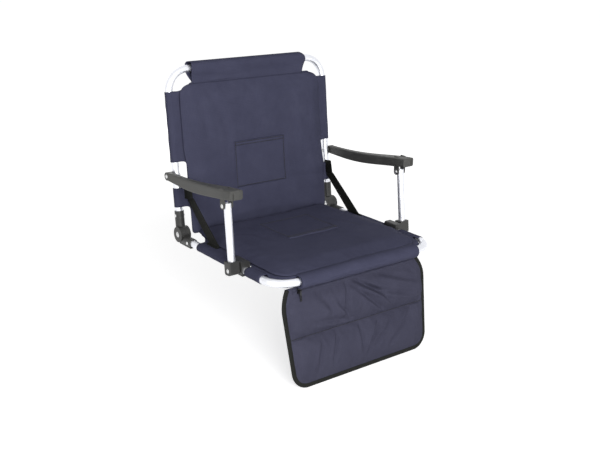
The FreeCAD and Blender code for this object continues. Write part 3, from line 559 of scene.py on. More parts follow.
def puff(piece: Object, pressure: float, slack: float, cap: float = 5.0, frames: int = 20) -> None:
    """Blows a sewn cover up by cloth simulation, and keeps the result as plain mesh.

    Args:
        piece: a closed cover, whose held points stay where they are.
        pressure: of the filling.
        slack: how much larger the cover is cut than its filling, as a share.
        cap: the furthest that a point may move, in millimetres.
        frames: how long the simulation runs.
    """
    start = spots(piece.data)
    held = np.empty(len(start))
    piece.data.attributes["held"].data.foreach_get("value", held)
    group = piece.vertex_groups.new(name="held")
    for index in np.flatnonzero(held > 0).tolist():
        group.add([index], float(held[index]), "REPLACE")
    cloth = piece.modifiers.new("cover", "CLOTH")
    for name, value in COVER_RULES.items():
        setattr(cloth.settings, name, value)
    cloth.settings.uniform_pressure_force = pressure
    cloth.settings.shrink_min = -slack
    cloth.settings.effector_weights.gravity = 0.0
    cloth.settings.vertex_group_mass = group.name
    cloth.collision_settings.use_collision = False
    cloth.point_cache.frame_start = 1
    cloth.point_cache.frame_end = frames
    scene = bpy.context.scene
    for step in range(1, frames + 1):
        scene.frame_set(step)
    shift = spots(piece.evaluated_get(bpy.context.evaluated_depsgraph_get()).data) - start
    length = np.linalg.norm(shift, axis=1, keepdims=True)
    logging.info("%s: cover moved up to %.1f mm", piece.name, length.max() / MM)
    shift *= np.minimum(1.0, cap * MM / np.maximum(length, 1e-9))
    piece.modifiers.clear()
    piece.vertex_groups.clear()
    scene.frame_set(1)
    move_to(piece, start + shift)


def ripple(x: Array, y: Array, wave: float, seed: int) -> Array:
    """Smooth unevenness between about -1 and 1, the same on every run.

    Args:
        x: places across.
        y: places along.
        wave: typical length of a wave.
        seed: chooses the waves.

    Returns:
        A height for each place.
    """
    rng = np.random.default_rng(seed)
    total = np.zeros(np.broadcast(x, y).shape)
    waves = 8
    for _ in range(waves):
        turn, phase = rng.uniform(0, 2 * math.pi, 2)
        length = wave * rng.uniform(0.7, 1.7)
        total += np.sin((x * math.cos(turn) + y * math.sin(turn)) * 2 * math.pi / length + phase)
    return total / math.sqrt(waves)


@dataclass(frozen=True)
class Crease:
    """A soft fold in a cover: a valley along a path, with a lip on its left side."""

    path: Pairs
    depth: float
    width: float
    lip: float = 0.7

    def height(self, x: Array, y: Array) -> Array:
        """The fold's height at places across and along a panel.

        Args:
            x: places across.
            y: places along.

        Returns:
            A height for each place, in millimetres.
        """
        near = np.full(x.shape, np.inf)
        side = np.zeros(x.shape)
        far = np.zeros(x.shape)
        steps = list(zip(self.path[:-1], self.path[1:]))
        for number, ((x0, y0), (x1, y1)) in enumerate(steps):
            dx, dy = x1 - x0, y1 - y0
            t = np.clip(((x - x0) * dx + (y - y0) * dy) / (dx * dx + dy * dy), 0, 1)
            ex, ey = x - x0 - t * dx, y - y0 - t * dy
            gap = np.hypot(ex, ey)
            closer = gap < near
            near = np.where(closer, gap, near)
            side = np.where(closer, np.sign(dx * ey - dy * ex) * gap, side)
            far = np.where(closer, (number + t) / len(steps), far)
        fade = np.sqrt(np.sin(math.pi * np.clip(far, 0.02, 0.98)))
        valley = np.exp(-(near / self.width) ** 2)
        beside = np.exp(-((side - 1.7 * self.width) / self.width) ** 2 - (near / (4 * self.width)) ** 2)
        return self.depth * fade * (self.lip * beside - valley)


def swell(share: Array) -> Array:
    """A quarter round: 0 at a seam, 1 once a share of the way in has been passed."""
    return np.sqrt(1 - (1 - np.clip(share, 0, 1)) ** 2)


def ease(share: Array) -> Array:
    """A gentle rise: 0 at a seam, flattening out to 1."""
    return np.sin(np.clip(share, 0, 1) * math.pi / 2)


def spread(start: float, end: float, count: int, ends: float = 0.45) -> Array:
    """Places from start to end, closer together near both ends."""
    t = np.linspace(0, 1, count)
    return start + (end - start) * ((1 - ends) * t + ends * (1 - np.cos(math.pi * t)) / 2)


def along_outline(outline: Outline, along: Array) -> Array:
    """The half width of an outline at places along it."""
    places, halves = zip(*outline)
    return np.interp(along, places, halves)


def smooth_line(points: list[tuple[float, float]], count: int) -> Array:
    """A smooth line through points, with evenly spaced places on it.

    Args:
        points: where the line goes.
        count: how many places.

    Returns:
        The places.
    """
    knots = np.array(points)
    knots = np.concatenate([[2 * knots[0] - knots[1]], knots, [2 * knots[-1] - knots[-2]]])
    fine = []
    t = np.linspace(0, 1, 12, endpoint=False)[:, None]
    for a, b, c, d in zip(knots[:-3], knots[1:-2], knots[2:-1], knots[3:]):
        fine.append(0.5 * (2 * b + (c - a) * t + (2 * a - 5 * b + 4 * c - d) * t ** 2
                           + (3 * b - a - 3 * c + d) * t ** 3))
    fine = np.concatenate(fine + [knots[-2:-1]])
    length = run_of(fine)
    even = np.linspace(0, length[-1], count)
    return np.stack([np.interp(even, length, fine[:, i]) for i in (0, 1)], axis=-1)


@dataclass
class Pad:
    """A padded panel with rounded corners, whose lower edge meets its neighbour in the crease."""

    name: str
    panel: Panel
    nodes: tuple[str, ...]
    left: Outline
    right: Outline
    creases: tuple[Crease, ...]
    seed: int
    base: float = CLOTH_TOP + 0.5
    rim: float = 3.0
    crown: float = 12.0
    corner: float = 34.0
    heel_corner: float = 10.0
    shoulder: float = 40.0
    heel_shoulder: float = 15.0
    toe_shoulder: float = 40.0
    seam_round: float = 9.0
    waves: Pairs = ((0.5, 90.0), (0.12, 26.0))  # height and length of its unevenness
    fold_in: float = 4.0  # height over the rim at which folds have their full depth
    rows: int = 46
    columns: int = 50

    @property
    def span(self) -> tuple[float, float]:
        """Where the pad begins, at the crease, and where it ends."""
        return self.left[0][0], self.left[-1][0]

    def reach(self, outline: Outline, along: Array) -> Array:
        """The pad's width to one side, with its two corners rounded.

        Args:
            outline: of that side.
            along: places along the panel.

        Returns:
            The width at each place.
        """
        start, end = self.span
        half = along_outline(outline, along)
        for gap, corner in ((end - along, self.corner), (along - start, self.heel_corner)):
            inside = np.clip(corner - gap, 0, corner)
            half = half - corner + np.sqrt(corner ** 2 - inside ** 2)
        return half

    def build(self) -> Object:
        """Sews the cover, puffs it up and folds its creases in.

        Returns:
            The pad.
        """
        start, end = self.span
        along = spread(start, end, self.rows)[:, None]
        across = spread(-1, 1, self.columns, 0.3)[None, :]
        left, right = self.reach(self.left, along), self.reach(self.right, along)
        x = np.where(across < 0, left, right) * across
        gaps = (np.minimum(x + left, right - x), along - start, end - along)
        full = flat = 1.0
        edge = np.zeros(x.shape, bool)
        for gap, shoulder in zip(gaps, (self.shoulder, self.heel_shoulder, self.toe_shoulder)):
            full = full * swell(gap / shoulder)
            flat = flat * swell(gap / self.seam_round)
            edge = edge | (gap < 1)
        front = self.base + self.rim + (self.crown - self.rim) * full
        back = self.base + self.rim * (1 - flat)
        cover = Patchwork()
        for out, held in ((front, edge.astype(float)), (back, 1.0)):
            cover.lay(self.panel.place(x, along, out), grid(x, along), held)
        pad = cover.piece(self.name)
        puff(pad, pressure=3.0, slack=0.006)
        round_off(pad)
        self.fold(pad)
        return pad

    def fold(self, pad: Object) -> None:
        """Presses the photograph's creases and a little unevenness into the front of the pad.

        Args:
            pad: the puffed pad.
        """
        x, along, out = self.panel.flat(spots(pad.data)).T
        front = np.clip((out - self.base - self.rim) / self.fold_in, 0, 1)
        height = sum(crease.height(x, along) for crease in self.creases)
        for number, (depth, wave) in enumerate(self.waves):
            height = height + depth * ripple(x, along, wave, self.seed + number)
        move_to(pad, self.panel.place(x, along, out + front * height))

    def finish(self, pad: Object) -> None:
        """Dresses the pad and hides the frame's parts that it replaces."""
        attach(pad, Finish.CLOTH, "seat_fabric", FOLD, *self.nodes)


@dataclass(frozen=True)
class Bead:
    """A small capsule that is set along a line, turned from the line's direction in radians."""

    finish: Finish
    pitch: float
    length: float
    width: float
    turn: float = 0.0


# Real stitches are 3 long; drawn longer and wider, nearly end to end, so that they show, and their dark line
# also stands in as painted shade in the seam.
POCKET_STITCH_AND_SEAM_SHADE = Bead(Finish.THREAD, 4.2, 3.78, 2.4)
CHANNEL_STITCH_AND_SEAM_SHADE = Bead(Finish.THREAD, 4.2, 3.8, 2.4)
TOOTH = Bead(Finish.TEETH, 2.4, 3.2, 1.2, math.radians(90))


def bead_row() -> Tree:
    """A node tree that sets small capsules along a line, for stitches and zipper teeth.

    Returns:
        The tree, made once.
    """
    tree = bpy.data.node_groups.get("bead_row")
    if tree:
        return tree
    tree = bpy.data.node_groups.new("bead_row", "GeometryNodeTree")
    for name, kind in (("Line", "Geometry"), ("Pitch", "Float"), ("Length", "Float"), ("Width", "Float"),
                       ("Turn", "Float"), ("Material", "Material")):
        tree.interface.new_socket(name, in_out="INPUT", socket_type="NodeSocket" + kind)
    tree.interface.new_socket("Beads", in_out="OUTPUT", socket_type="NodeSocketGeometry")
    ask = add(tree, "NodeGroupInput").outputs
    curve = add(tree, "GeometryNodeMeshToCurve", {"Mesh": ask["Line"]})
    points = add(tree, "GeometryNodeResampleCurve", {"Curve": curve.outputs[0], "Length": ask["Pitch"]},
                 mode="LENGTH")
    ball = add(tree, "GeometryNodeMeshUVSphere", {"Segments": 8, "Rings": 6, "Radius": 0.5})
    way = add(tree, "GeometryNodeInputTangent")
    facing = add(tree, "FunctionNodeAlignRotationToVector", {"Vector": way.outputs[0]}, axis="X")
    turn = add(tree, "ShaderNodeCombineXYZ", {"Z": ask["Turn"]})
    turned = add(tree, "FunctionNodeRotateRotation", {"Rotation": facing.outputs[0],
                                                      "Rotate By": turn.outputs[0]}, rotation_space="LOCAL")
    size = add(tree, "ShaderNodeCombineXYZ", {"X": ask["Length"], "Y": ask["Width"], "Z": ask["Width"]})
    row = add(tree, "GeometryNodeInstanceOnPoints", {"Points": points.outputs[0], "Instance": ball.outputs[0],
                                                     "Rotation": turned.outputs[0], "Scale": size.outputs[0]})
    whole = add(tree, "GeometryNodeRealizeInstances", {"Geometry": row.outputs[0]})
    smooth = add(tree, "GeometryNodeSetShadeSmooth", {"Geometry": whole.outputs[0]})
    done = add(tree, "GeometryNodeSetMaterial", {"Geometry": smooth.outputs[0], "Material": ask["Material"]})
    add(tree, "NodeGroupOutput", {"Beads": done.outputs[0]})
    return tree


def beads(name: str, lines: Array, bead: Bead) -> Object:
    """Sets capsules along lines.

    Args:
        name: of the new piece.
        lines: for each line, a row of points in metres.
        bead: the capsule.

    Returns:
        The piece, as plain mesh.
    """
    count = lines.shape[1]
    edges = [(i, i + 1) for i in range(len(lines) * count - 1) if (i + 1) % count]
    mesh = bpy.data.meshes.new(name)
    mesh.from_pydata(lines.reshape(-1, 3).tolist(), edges, [])
    piece = new_object(name, mesh)
    modifier = piece.modifiers.new("beads", "NODES")
    modifier.node_group = bead_row()
    values = {"Pitch": bead.pitch * MM, "Length": bead.length * MM, "Width": bead.width * MM,
              "Turn": bead.turn, "Material": bead.finish.material()}
    for item in modifier.node_group.interface.items_tree:
        if item.in_out == "INPUT" and item.name in values:
            modifier[item.identifier] = values[item.name]
    settle(piece)
    return piece


def on_skin(panel: Panel, piece: Object, x: Array, along: Array | float, lift: Array | float) -> Array:
    """Points on the front of a padded piece.

    Args:
        panel: whose coordinates are meant.
        piece: the padded piece.
        x: places across.
        along: places along the panel.
        lift: height over the skin, in millimetres.

    Returns:
        The points, in metres.
    """
    skin = BVHTree.FromObject(piece, bpy.context.evaluated_depsgraph_get())
    well_clear = 60.0
    high = panel.place(x, along, well_clear)
    outward = panel.axes()[1][2]
    points = np.empty(high.shape)
    for index in np.ndindex(high.shape[:-1]):
        points[index] = skin.ray_cast(Vector(high[index]), Vector(-outward))[0]
    return points + outward * np.asarray(lift)[..., None] * MM


@dataclass
class Pocket:
    """A square patch, sewn to a pad round three sides, with a hem along its open edge."""

    name: str
    panel: Panel
    node: str
    start: float
    middle: float = 0.0
    half: float = 80.0
    height: float = 122.0
    hem: float = 10.0
    inset: float = 3.0
    thickness: float = 0.8
    edge_round: float = 1.6
    sunk: float = 0.3  # of its edges in the pad
    lift: float = 1.6
    hem_lift: float = 0.8
    gape: tuple[float, float] = (0.8, 0.5)  # of its open edge, and the unevenness of that
    mouth: float = 14.0
    shift: tuple[float, float] = (7.0, 3.0)  # of its threads against the pad's

    def build(self, pad: Object) -> tuple[Object, Object]:
        """Lays the patch on its pad and sews it down.

        Args:
            pad: the padded panel under the patch.

        Returns:
            The patch and its stitches.
        """
        end = self.start + self.height
        rims = np.array([0.0, 0.9, 2.0])
        places = np.concatenate([self.start + rims, np.linspace(self.start + 6, end - self.hem - 3, 14),
                                 end - self.hem + np.array([-0.6, 0.6, 4.0]), end - rims[::-1]])
        sides = np.concatenate([-self.half + rims, np.linspace(-self.half + 6, self.half - 6, 20),
                                self.half - rims[::-1]])
        x, along = np.broadcast_arrays(sides[None, :], places[:, None])
        edge = np.minimum(np.minimum(self.half - np.abs(x), along - self.start), end - along)
        loose = np.exp(-((end - along) / self.mouth) ** 2) * np.clip(1 - (x / self.half) ** 2, 0, 1)
        gape = self.gape[0] + self.gape[1] * ripple(x, along * 0, 60, 81)
        full = self.lift + self.hem_lift * (end - along < self.hem) + loose * gape
        lift = full * swell(edge / self.edge_round) - self.sunk
        points = on_skin(self.panel, pad, x + self.middle, along, lift)
        patch = Patchwork().lay(points, grid(x, along) + np.array(self.shift)).piece(self.name)
        thicken(patch, self.thickness)
        inner = self.half - self.inset
        lip, shut, brim = end - self.hem, self.start + self.inset, end - self.inset
        rows = np.array([[(-inner, brim), (-inner, shut)], [(-inner, shut), (inner, shut)],
                         [(inner, shut), (inner, brim)], [(-inner, lip), (inner, lip)],
                         [(-inner, brim), (inner, brim)]])
        t = np.linspace(0, 1, 40)[:, None]
        paths = rows[:, :1] + (rows[:, 1:] - rows[:, :1]) * t
        lines = on_skin(self.panel, patch, self.middle + paths[..., 0], paths[..., 1], 0.3)
        # Wide dark stitch rows: thread, and partly painted shade of the seams round the patch.
        return patch, beads(self.name + "_stitches_and_shade", lines, POCKET_STITCH_AND_SEAM_SHADE)

    def finish(self, patch: Object, stitches: Object, pad: Object) -> None:
        """Dresses the patch and its stitches, and hides the frame's pocket that the patch replaces.

        Args:
            patch: the patch.
            stitches: round it.
            pad: under it; not used.
        """
        attach(patch, Finish.CLOTH, "seat_fabric", FOLD, self.node)
        attach(stitches, Finish.THREAD, "seat_fabric", FOLD)


@dataclass
class Sling:
    """A stretched sheet with sleeves round the side tubes."""

    name: str
    panel: Panel
    node: str
    outline: Outline
    sleeves: tuple[tuple[float, float], tuple[float, float]]
    seed: int
    droop: float = 0.0
    sag: float = 2.2
    ruffle: float = 0.6
    ruffle_wave: float = 60.0
    wrinkle: tuple[float, float] = (0.015, 0.03)  # share that a sleeve is loose by, and its unevenness
    wrinkle_wave: float = 34.0
    lip_width: float = 11.0
    lip_run: float = 6.0
    right_more: float = 0.0
    edge: float = 228.0
    middle: float = CLOTH_TOP - 0.6
    thickness: float = 1.2
    step: float = 9.0
    columns: int = 60

    @property
    def span(self) -> tuple[float, float]:
        """Where the sheet begins, at the crease, and where it ends."""
        return self.outline[0][0], self.outline[-1][0]

    def rows(self) -> Array:
        """Places along the panel, with one at every corner of the outline.

        Returns:
            The places, one to a row.
        """
        stops = sorted({place for place, _ in self.outline}.union(*self.sleeves))
        places = [self.span[0]]
        for low, high in zip(stops[:-1], stops[1:]):
            count = max(1, round((high - low) / self.step))
            places += list(np.linspace(low, high, count + 1)[1:])
        return np.array(places)[:, None]

    def loop(self) -> Array:
        """The line of a sleeve's cloth from the sheet's edge round a tube and back under the sheet.

        Returns:
            Places across the panel and out of it.
        """
        turn = np.radians(np.linspace(90, -128, 19))
        round_tube = np.stack([HALF + self.middle * np.cos(turn), self.middle * np.sin(turn)], axis=-1)
        lead = np.array([[self.edge, self.middle], [HALF - 7, self.middle]])
        tail = np.array([[HALF - 14, 1.0], [HALF - 20, 6.0], [HALF - 26, 8.8], [HALF - 33, 9.1]])
        return np.concatenate([lead, round_tube, tail])

    def build(self) -> tuple[Object, float]:
        """Cuts the sheet and its sleeves in one.

        Returns:
            The piece and its flat area in square metres.
        """
        start, end = self.span
        along = self.rows()
        half = along_outline(self.outline, along)
        x = half * np.linspace(-1, 1, self.columns)[None, :]
        last = self.sleeves[1][1]
        share = np.clip((along - start) / (end - start), 0, 1)
        sag = self.sag * (1 - (x / self.edge) ** 2) * np.sin(math.pi * share)
        uneven = 1 + ripple(x, along, self.ruffle_wave, self.seed)
        ruffle = self.ruffle * (1 - np.abs(x) / self.edge) * uneven
        lip = np.clip((np.abs(x) - half) / self.lip_width + 1, 0, 1) ** 2
        lip = lip * np.clip((along - last) / self.lip_run, 0, 1)
        out = self.middle - sag - ruffle - self.droop * lip
        patchwork = Patchwork().lay(self.panel.place(x, along, out), grid(x, along))
        for low, high in self.sleeves:
            for hand in (-1, 1):
                top = high + self.right_more if hand > 0 and high == last else high
                part = along[(along[:, 0] >= low - 0.01) & (along[:, 0] <= top + 0.01)]
                patchwork.lay(*self.sleeve(part, hand))
        piece = patchwork.piece(self.name)
        thicken(piece, self.thickness)
        return piece, patchwork.area

    def sleeve(self, part: Array, hand: int) -> tuple[Array, Array]:
        """One sleeve's points and cloth coordinates.

        Args:
            part: places along the panel.
            hand: -1 for the left side, 1 for the right.

        Returns:
            Rows of points in metres and of cloth coordinates.
        """
        line = self.loop()
        length = run_of(line)[None, :]
        away = line - np.array([HALF, 0.0])
        loose = np.clip(length / 14, 0, 1) * np.clip((length[0, -1] - length) / 20, 0, 1)
        wave = ripple(length, part, self.wrinkle_wave, self.seed + 7 + hand)
        swollen = 1 + loose * (self.wrinkle[0] + self.wrinkle[1] * wave)
        x = hand * (HALF + away[:, 0] * swollen)
        return self.panel.place(x, part, away[:, 1] * swollen), grid(hand * (self.edge + length), part)

    def finish(self, piece: Object, area: float) -> None:
        """Dresses the sling and fixes it to its half of the frame.

        Args:
            piece: the sling.
            area: of its cloth, in square metres; not used.
        """
        body = self.panel.value
        attach(piece, Finish.CLOTH, "seat_fabric", body, self.node)


@dataclass
class TopSleeve:
    """The loose loop of cloth over the top tube: its left end by how far out, its right end by how far up."""

    left: Outline = ((-14.0, 184.0), (0.0, 181.0), (8.0, 179.0), (18.0, 181.0))
    right: Outline = ((-40.0, 165.0), (-34.0, 166.0), (-21.0, 170.0), (-3.0, 177.0), (8.0, 173.0),
                      (18.0, 163.0))
    front_out: float = 9.0
    thickness: float = 1.3
    columns: int = 46
    rows: int = 40

    def section(self) -> Array:
        """The loop as up and out from the top tube's centre, front edge first."""
        return smooth_line([(-40, 10.9), (-30, 11.0), (-20, 11.4), (-10, 13.4), (0, 16.2), (7, 17.2),
                            (12.5, 14.4), (16.2, 8), (17.2, 1), (16.0, -6), (10, -12), (0, -13.6),
                            (-10, -11), (-20, -4.5), (-28, 3), (-34, 7.8), (-40, 8.6)], self.rows)

    def build(self) -> tuple[Object, float]:
        """Hangs the loop over the tube, fuller in the middle than at its ends.

        Returns:
            The piece and its flat area in square metres.
        """
        line = self.section()
        up, away = line[:, 0:1], line[:, 1:2]
        left, right = along_outline(self.left, away), along_outline(self.right, up)
        x = -left + (right + left) * np.linspace(0, 1, self.columns)[None, :]
        along = np.broadcast_to(run_of(line)[:, None], x.shape)
        loose = np.sin(np.linspace(0, math.pi, self.rows))[:, None] ** 0.5
        wave = loose * (0.25 * ripple(x, along * 1.6, 120, 5) + 0.12 * ripple(x, along, 45, 6))
        fold = Crease(((-186, 20), (-150, 17), (-90, 12), (-20, 8)), 3.0, 9).height(x, along)
        slack = Crease(((-60, 26), (30, 20), (150, 12)), 1.2, 11).height(x, along)
        out = away * (1 + 0.02 * wave) + (away > self.front_out) * (wave + fold + slack)
        patchwork = Patchwork().lay(Panel.BACK.place(x, BACK_HEIGHT + up, out), grid(x, along))
        piece = patchwork.piece("top_sleeve_cloth")
        thicken(piece, self.thickness)
        return piece, patchwork.area

    def finish(self, piece: Object, area: float) -> None:
        """Dresses the sleeve and fixes it to the back.

        Args:
            piece: the sleeve.
            area: of its cloth, in square metres; not used.
        """
        attach(piece, Finish.CLOTH, "seat_fabric", "back", "top_sleeve")


@dataclass
class FrontRoll:
    """The padded roll round the front tube, with the tail that is sewn to the seat."""

    left: float = 183.0
    right: float = 179.0
    radius: float = 17.4
    bore: float = 10.1
    tail: float = 7.5
    tail_turn: float = math.radians(146)
    tail_spread: float = 0.33  # radians
    tab: float = 8.0
    tab_turn: float = math.radians(226.5)
    tab_spread: float = 0.13
    uneven: float = 0.5
    uneven_wave: float = 55.0
    around: int = 72
    columns: int = 44

    def skin(self, turn: Array) -> Array:
        """The roll's outer radius.

        Args:
            turn: angles from straight ahead, up and over to the back.

        Returns:
            The radius at each angle.
        """
        tail = self.tail * np.exp(-((turn - self.tail_turn) / self.tail_spread) ** 2)
        tab = self.tab * np.exp(-((turn - self.tab_turn) / self.tab_spread) ** 2)
        return self.radius + tail + tab

    def build(self) -> Object:
        """Lays the padding round the tube, with its ends rolled in.

        Returns:
            The roll.
        """
        whole = self.left + self.right
        rolled = np.array([0.0, 0.0, 0.4, 1.6, 4.0])
        shares = np.array([0.3, 0.55, 0.8, 0.94, 1.0])
        inset = np.concatenate([rolled, np.linspace(9, whole - 9, self.columns), whole - rolled[::-1],
                                [whole - 1.5, whole / 2, 1.5, 0.0]])[:, None]
        share = np.concatenate([shares, np.ones(self.columns), shares[::-1], [0.0, 0.0, 0.0, 0.3]])[:, None]
        x = inset - self.left
        turn = np.linspace(0, 2 * math.pi, self.around + 1)[None, :]
        wave = self.uneven * ripple(x, np.minimum(turn, 2 * math.pi - turn) * 17, self.uneven_wave, 11)
        radius = self.bore + (self.skin(turn) + wave - self.bore) * share
        points = Panel.SEAT.place(x, SEAT_DEPTH + radius * np.cos(turn), radius * np.sin(turn))
        roll = Patchwork().lay(points, grid(run_of(inset)[:, None], turn * self.radius)).piece("front_roll")
        round_off(roll)
        return roll

    def finish(self, roll: Object) -> None:
        """Dresses the roll and fixes it to the seat."""
        attach(roll, Finish.CLOTH, "seat_fabric", "seat", "front_sleeve")


@dataclass
class Strap:
    """A webbing strap from the back's edge to the seat's, which stops the recline."""

    side: str
    hand: int
    inboard: float
    back_edge: tuple[float, float] = (90.0, 127.0)
    seat_edge: tuple[float, float] = (101.0, 150.0)
    bow: float = 1.4
    cloth_width: float = 25.0
    thickness: float = 1.5
    run_rows: int = 18
    columns: int = 7

    def band(self, panel: Panel, more: float, edge: tuple[float, float], out: tuple[float, float]) -> Array:
        """One row across the webbing.

        Args:
            panel: whose coordinates are meant.
            more: how much further out to the side than the strap's own place.
            edge: where the webbing's two edges lie along the panel.
            out: how far they stand out of it.

        Returns:
            The row's points in metres.
        """
        w = np.linspace(0, 1, self.columns)
        along = edge[0] + (edge[1] - edge[0]) * w
        return panel.place((self.inboard + more) * self.hand, along, out[0] + (out[1] - out[0]) * w)

    def build(self) -> tuple[Object, float, float]:
        """Lays the loop on the back, the run and the tab on the seat as one piece.

        Returns:
            The piece, its flat area in square metres and its length in metres.
        """
        w = np.linspace(0, 1, self.columns)
        low, high = self.back_edge
        loop = [self.band(Panel.BACK, more, self.back_edge, (out, out))
                for more, out in ((3.2, 9.0), (1.6, 14.0), (0.8, 20.0), (0.6, 28.0))]
        loop += [self.band(Panel.BACK, 0.2, (low + 2, high), (41.0, 38.0)),
                 self.band(Panel.BACK, -1.0, (low + 3, high - 1), (44.0, 40.0))]
        first = self.band(Panel.BACK, -1.6, (low - 1, low + 5), (16.0, 46.0))
        last = self.band(Panel.SEAT, -1.0, self.seat_edge, (14.0, 14.0))
        run = []
        for t in np.linspace(0, 1, self.run_rows):
            row = first * (1 - t) + last * t
            row[:, 0] -= self.hand * self.bow * math.sin(math.pi * t) * (1 - 1.4 * (2 * w - 1) ** 2) * MM
            run.append(row)
        run += [self.band(Panel.SEAT, more, self.seat_edge, (out, out))
                for more, out in ((0.6, 12.6), (4.0, 12.0), (9.0, 12.0))]
        strap = Patchwork()
        total = 0.0
        for rows in (loop, run):
            points = np.stack(rows)
            length = run_of(points[:, self.columns // 2])
            total += length[-1]
            strap.lay(points, grid(self.cloth_width * w[None, :], length[:, None] / MM))
        piece = strap.piece(self.side + "_strap_webbing")
        thicken(piece, self.thickness)
        return piece, strap.area, total

    def finish(self, strap: Object, area: float, length: float) -> None:
        """Dresses the strap and hides the frame's strap that it replaces."""
        attach(strap, Finish.WEBBING, "black_webbing", FOLD, self.side + "_recline_strap")


@dataclass
class Flap:
    """The pocket flap: a quilted panel in two channels, bound at its edge, with a zipper along the top."""

    height: float = 242.0
    top_half: float = 206.0
    right_cut: float = 9.0
    wide_half: float = 221.0
    wide_down: float = 55.0
    low_half: float = 211.0
    corner: float = 42.0
    rim: float = 3.0
    seam: float = 121.0
    channel_top: float = 24.0
    binding: float = 10.0
    binding_thickness: float = 0.9
    front_puff: float = 7.0
    back_puff: float = 4.0
    shoulder: float = 30.0
    upper_full: float = 1.3
    upper_belly: float = 0.8  # what the filling that has sunk in the upper channel adds to it
    lower_full: float = 1.4
    belly_top: float = 60.0  # the zipper pull hangs above it
    belly_run: float = 32.0
    upper_slope: float = 36.0
    lower_slope: float = 48.0
    seam_round: float = 18.0
    tuck_round: float = 10.0
    fold_depth: float = 3.2
    fold_in: float = 3.0  # height over the rim at which folds have their full depth
    fold_clear: float = 26.0  # run from the seam in which they begin
    columns: int = 84
    tape_half: float = 190.0
    tape_down: tuple[float, float] = (3.2, 16.8)
    tape_thickness: float = 0.8
    chain_half: float = 189.0
    chain_down: float = 10.0
    chain_out: float = 2.9

    def reach(self, down: Array, hand: Array | int = -1) -> Array:
        """Half the flap's width, which is less at the top right.

        Args:
            down: places down the flap.
            hand: -1 for the left side, 1 for the right.

        Returns:
            The half width at each place.
        """
        shoulder = np.clip(down / self.wide_down, 0, 1)
        half = self.top_half + (self.wide_half - self.top_half) * (2 * shoulder - shoulder ** 2)
        fall = np.clip((down - self.wide_down) / (self.height - self.corner - self.wide_down), 0, 1)
        half = half - (self.wide_half - self.low_half) * fall
        inside = np.clip(down - self.height + self.corner, 0, self.corner)
        cut = self.right_cut * (np.asarray(hand) > 0) * (1 - shoulder) ** 2
        return half - cut - self.corner + np.sqrt(self.corner ** 2 - inside ** 2)

    def creases(self) -> tuple[Crease, ...]:
        """The folds that the photograph shows in the two channels."""
        return (
            Crease(((-24, 10), (23, 37), (62, 64), (95, 92)), 3.4, 6),
            Crease(((-18, 31), (49, 91), (80, 114)), 2.4, 6),
            Crease(((-31, 18), (-43, 62), (-43, 92)), 2.0, 7),
            Crease(((-70, 55), (-32, 104)), 2.2, 7),
            Crease(((60, 16), (144, 47), (195, 62)), 1.8, 6),
            Crease(((-23, 25), (69, 63), (174, 92)), 2.2, 6),
            Crease(((-150, 92), (-80, 100), (-20, 112)), 1.8, 7),
            Crease(((-120, 30), (-90, 66), (-84, 96)), 1.4, 9),
            Crease(((57, 133), (30, 170), (7, 208)), 2.6, 6),
            Crease(((162, 132), (120, 166), (81, 200)), 2.8, 6),
            Crease(((-6, 126), (-4, 195)), 1.8, 6),
            Crease(((-75, 126), (-98, 200)), 2.0, 6),
            Crease(((-122, 138), (-145, 214)), 1.8, 7),
            Crease(((100, 138), (60, 170), (28, 196)), 2.0, 6),
        )

    def panel(self) -> Object:
        """Sews the two faces together at the rim and the middle seam, and puffs up the channels.

        Returns:
            The quilt.
        """
        near = np.array([1.0, 2.6, 5.0, 8.5, 13.0])
        foot = np.array([3.0, 6.0, 8.5, 10.5, 12.0])
        sole = self.height - foot[-1]
        down = np.concatenate([np.linspace(0, self.seam - self.seam_round, 13), self.seam - near[::-1],
                               [self.seam], self.seam + near,
                               np.linspace(self.seam + self.seam_round, sole, 12), sole + foot])[:, None]
        share = spread(-1, 1, self.columns, 0.2)[None, :]
        half = self.reach(down, np.sign(share))
        x = half * share
        side = half - np.abs(x) - self.binding
        foot_gap = self.height - self.binding - down
        seam_gap = np.abs(down - self.seam)
        top_gap = down - self.channel_top
        above = down < self.seam
        below = swell(seam_gap / self.seam_round)
        belly = self.upper_full + self.upper_belly * ease((down - self.belly_top) / self.belly_run)
        hung = np.where(above, belly * ease(seam_gap / self.upper_slope), self.lower_full * below)
        tuck = np.where(above, self.upper_full * swell(seam_gap / self.tuck_round), below)
        sides = swell(side / self.shoulder) * swell(top_gap / self.shoulder)
        front = self.front_puff * sides * hung * ease(foot_gap / self.lower_slope)
        rear = self.back_puff * sides * tuck * swell(foot_gap / self.shoulder)
        held = ((side < 2) | (foot_gap < 2) | (seam_gap < 1) | (top_gap < 1)).astype(float)
        edge = swell((half - np.abs(x)) / 2) * swell((self.height - down) / 2) * self.rim / 2
        cover = Patchwork()
        for out in (edge + front, -edge - rear):
            cover.lay(Panel.FLAP.place(x, down, out), grid(x, down), held)
        piece = cover.piece("flap_quilt")
        puff(piece, pressure=4.0, slack=0.02)
        round_off(piece)
        self.fold(piece)
        return piece

    def fold(self, piece: Object) -> None:
        """Presses the folds into the front, away from the seam.

        Args:
            piece: the puffed quilt.
        """
        x, down, out = Panel.FLAP.flat(spots(piece.data)).T
        clear = swell((np.abs(down - self.seam) - 2) / self.fold_clear)
        front = np.clip((out - self.rim / 2 - 0.5) / self.fold_in, 0, 1) * clear
        height = sum(crease.height(x, down) for crease in self.creases())
        move_to(piece, Panel.FLAP.place(x, down, out + self.fold_depth * front * height))

    def quilting(self, panel: Object) -> Object:
        """Sews the line of stitches between the two channels.

        Args:
            panel: the quilt.

        Returns:
            The stitches.
        """
        reach = float(self.reach(np.array([self.seam]))[0]) - self.binding
        line = on_skin(Panel.FLAP, panel, np.linspace(-reach, reach, 120), self.seam, 0.2)
        # A wide dark stitch row: thread, and partly painted shade of the seam between the channels.
        return beads("flap_seam_stitches_and_shade", line[None], CHANNEL_STITCH_AND_SEAM_SHADE)

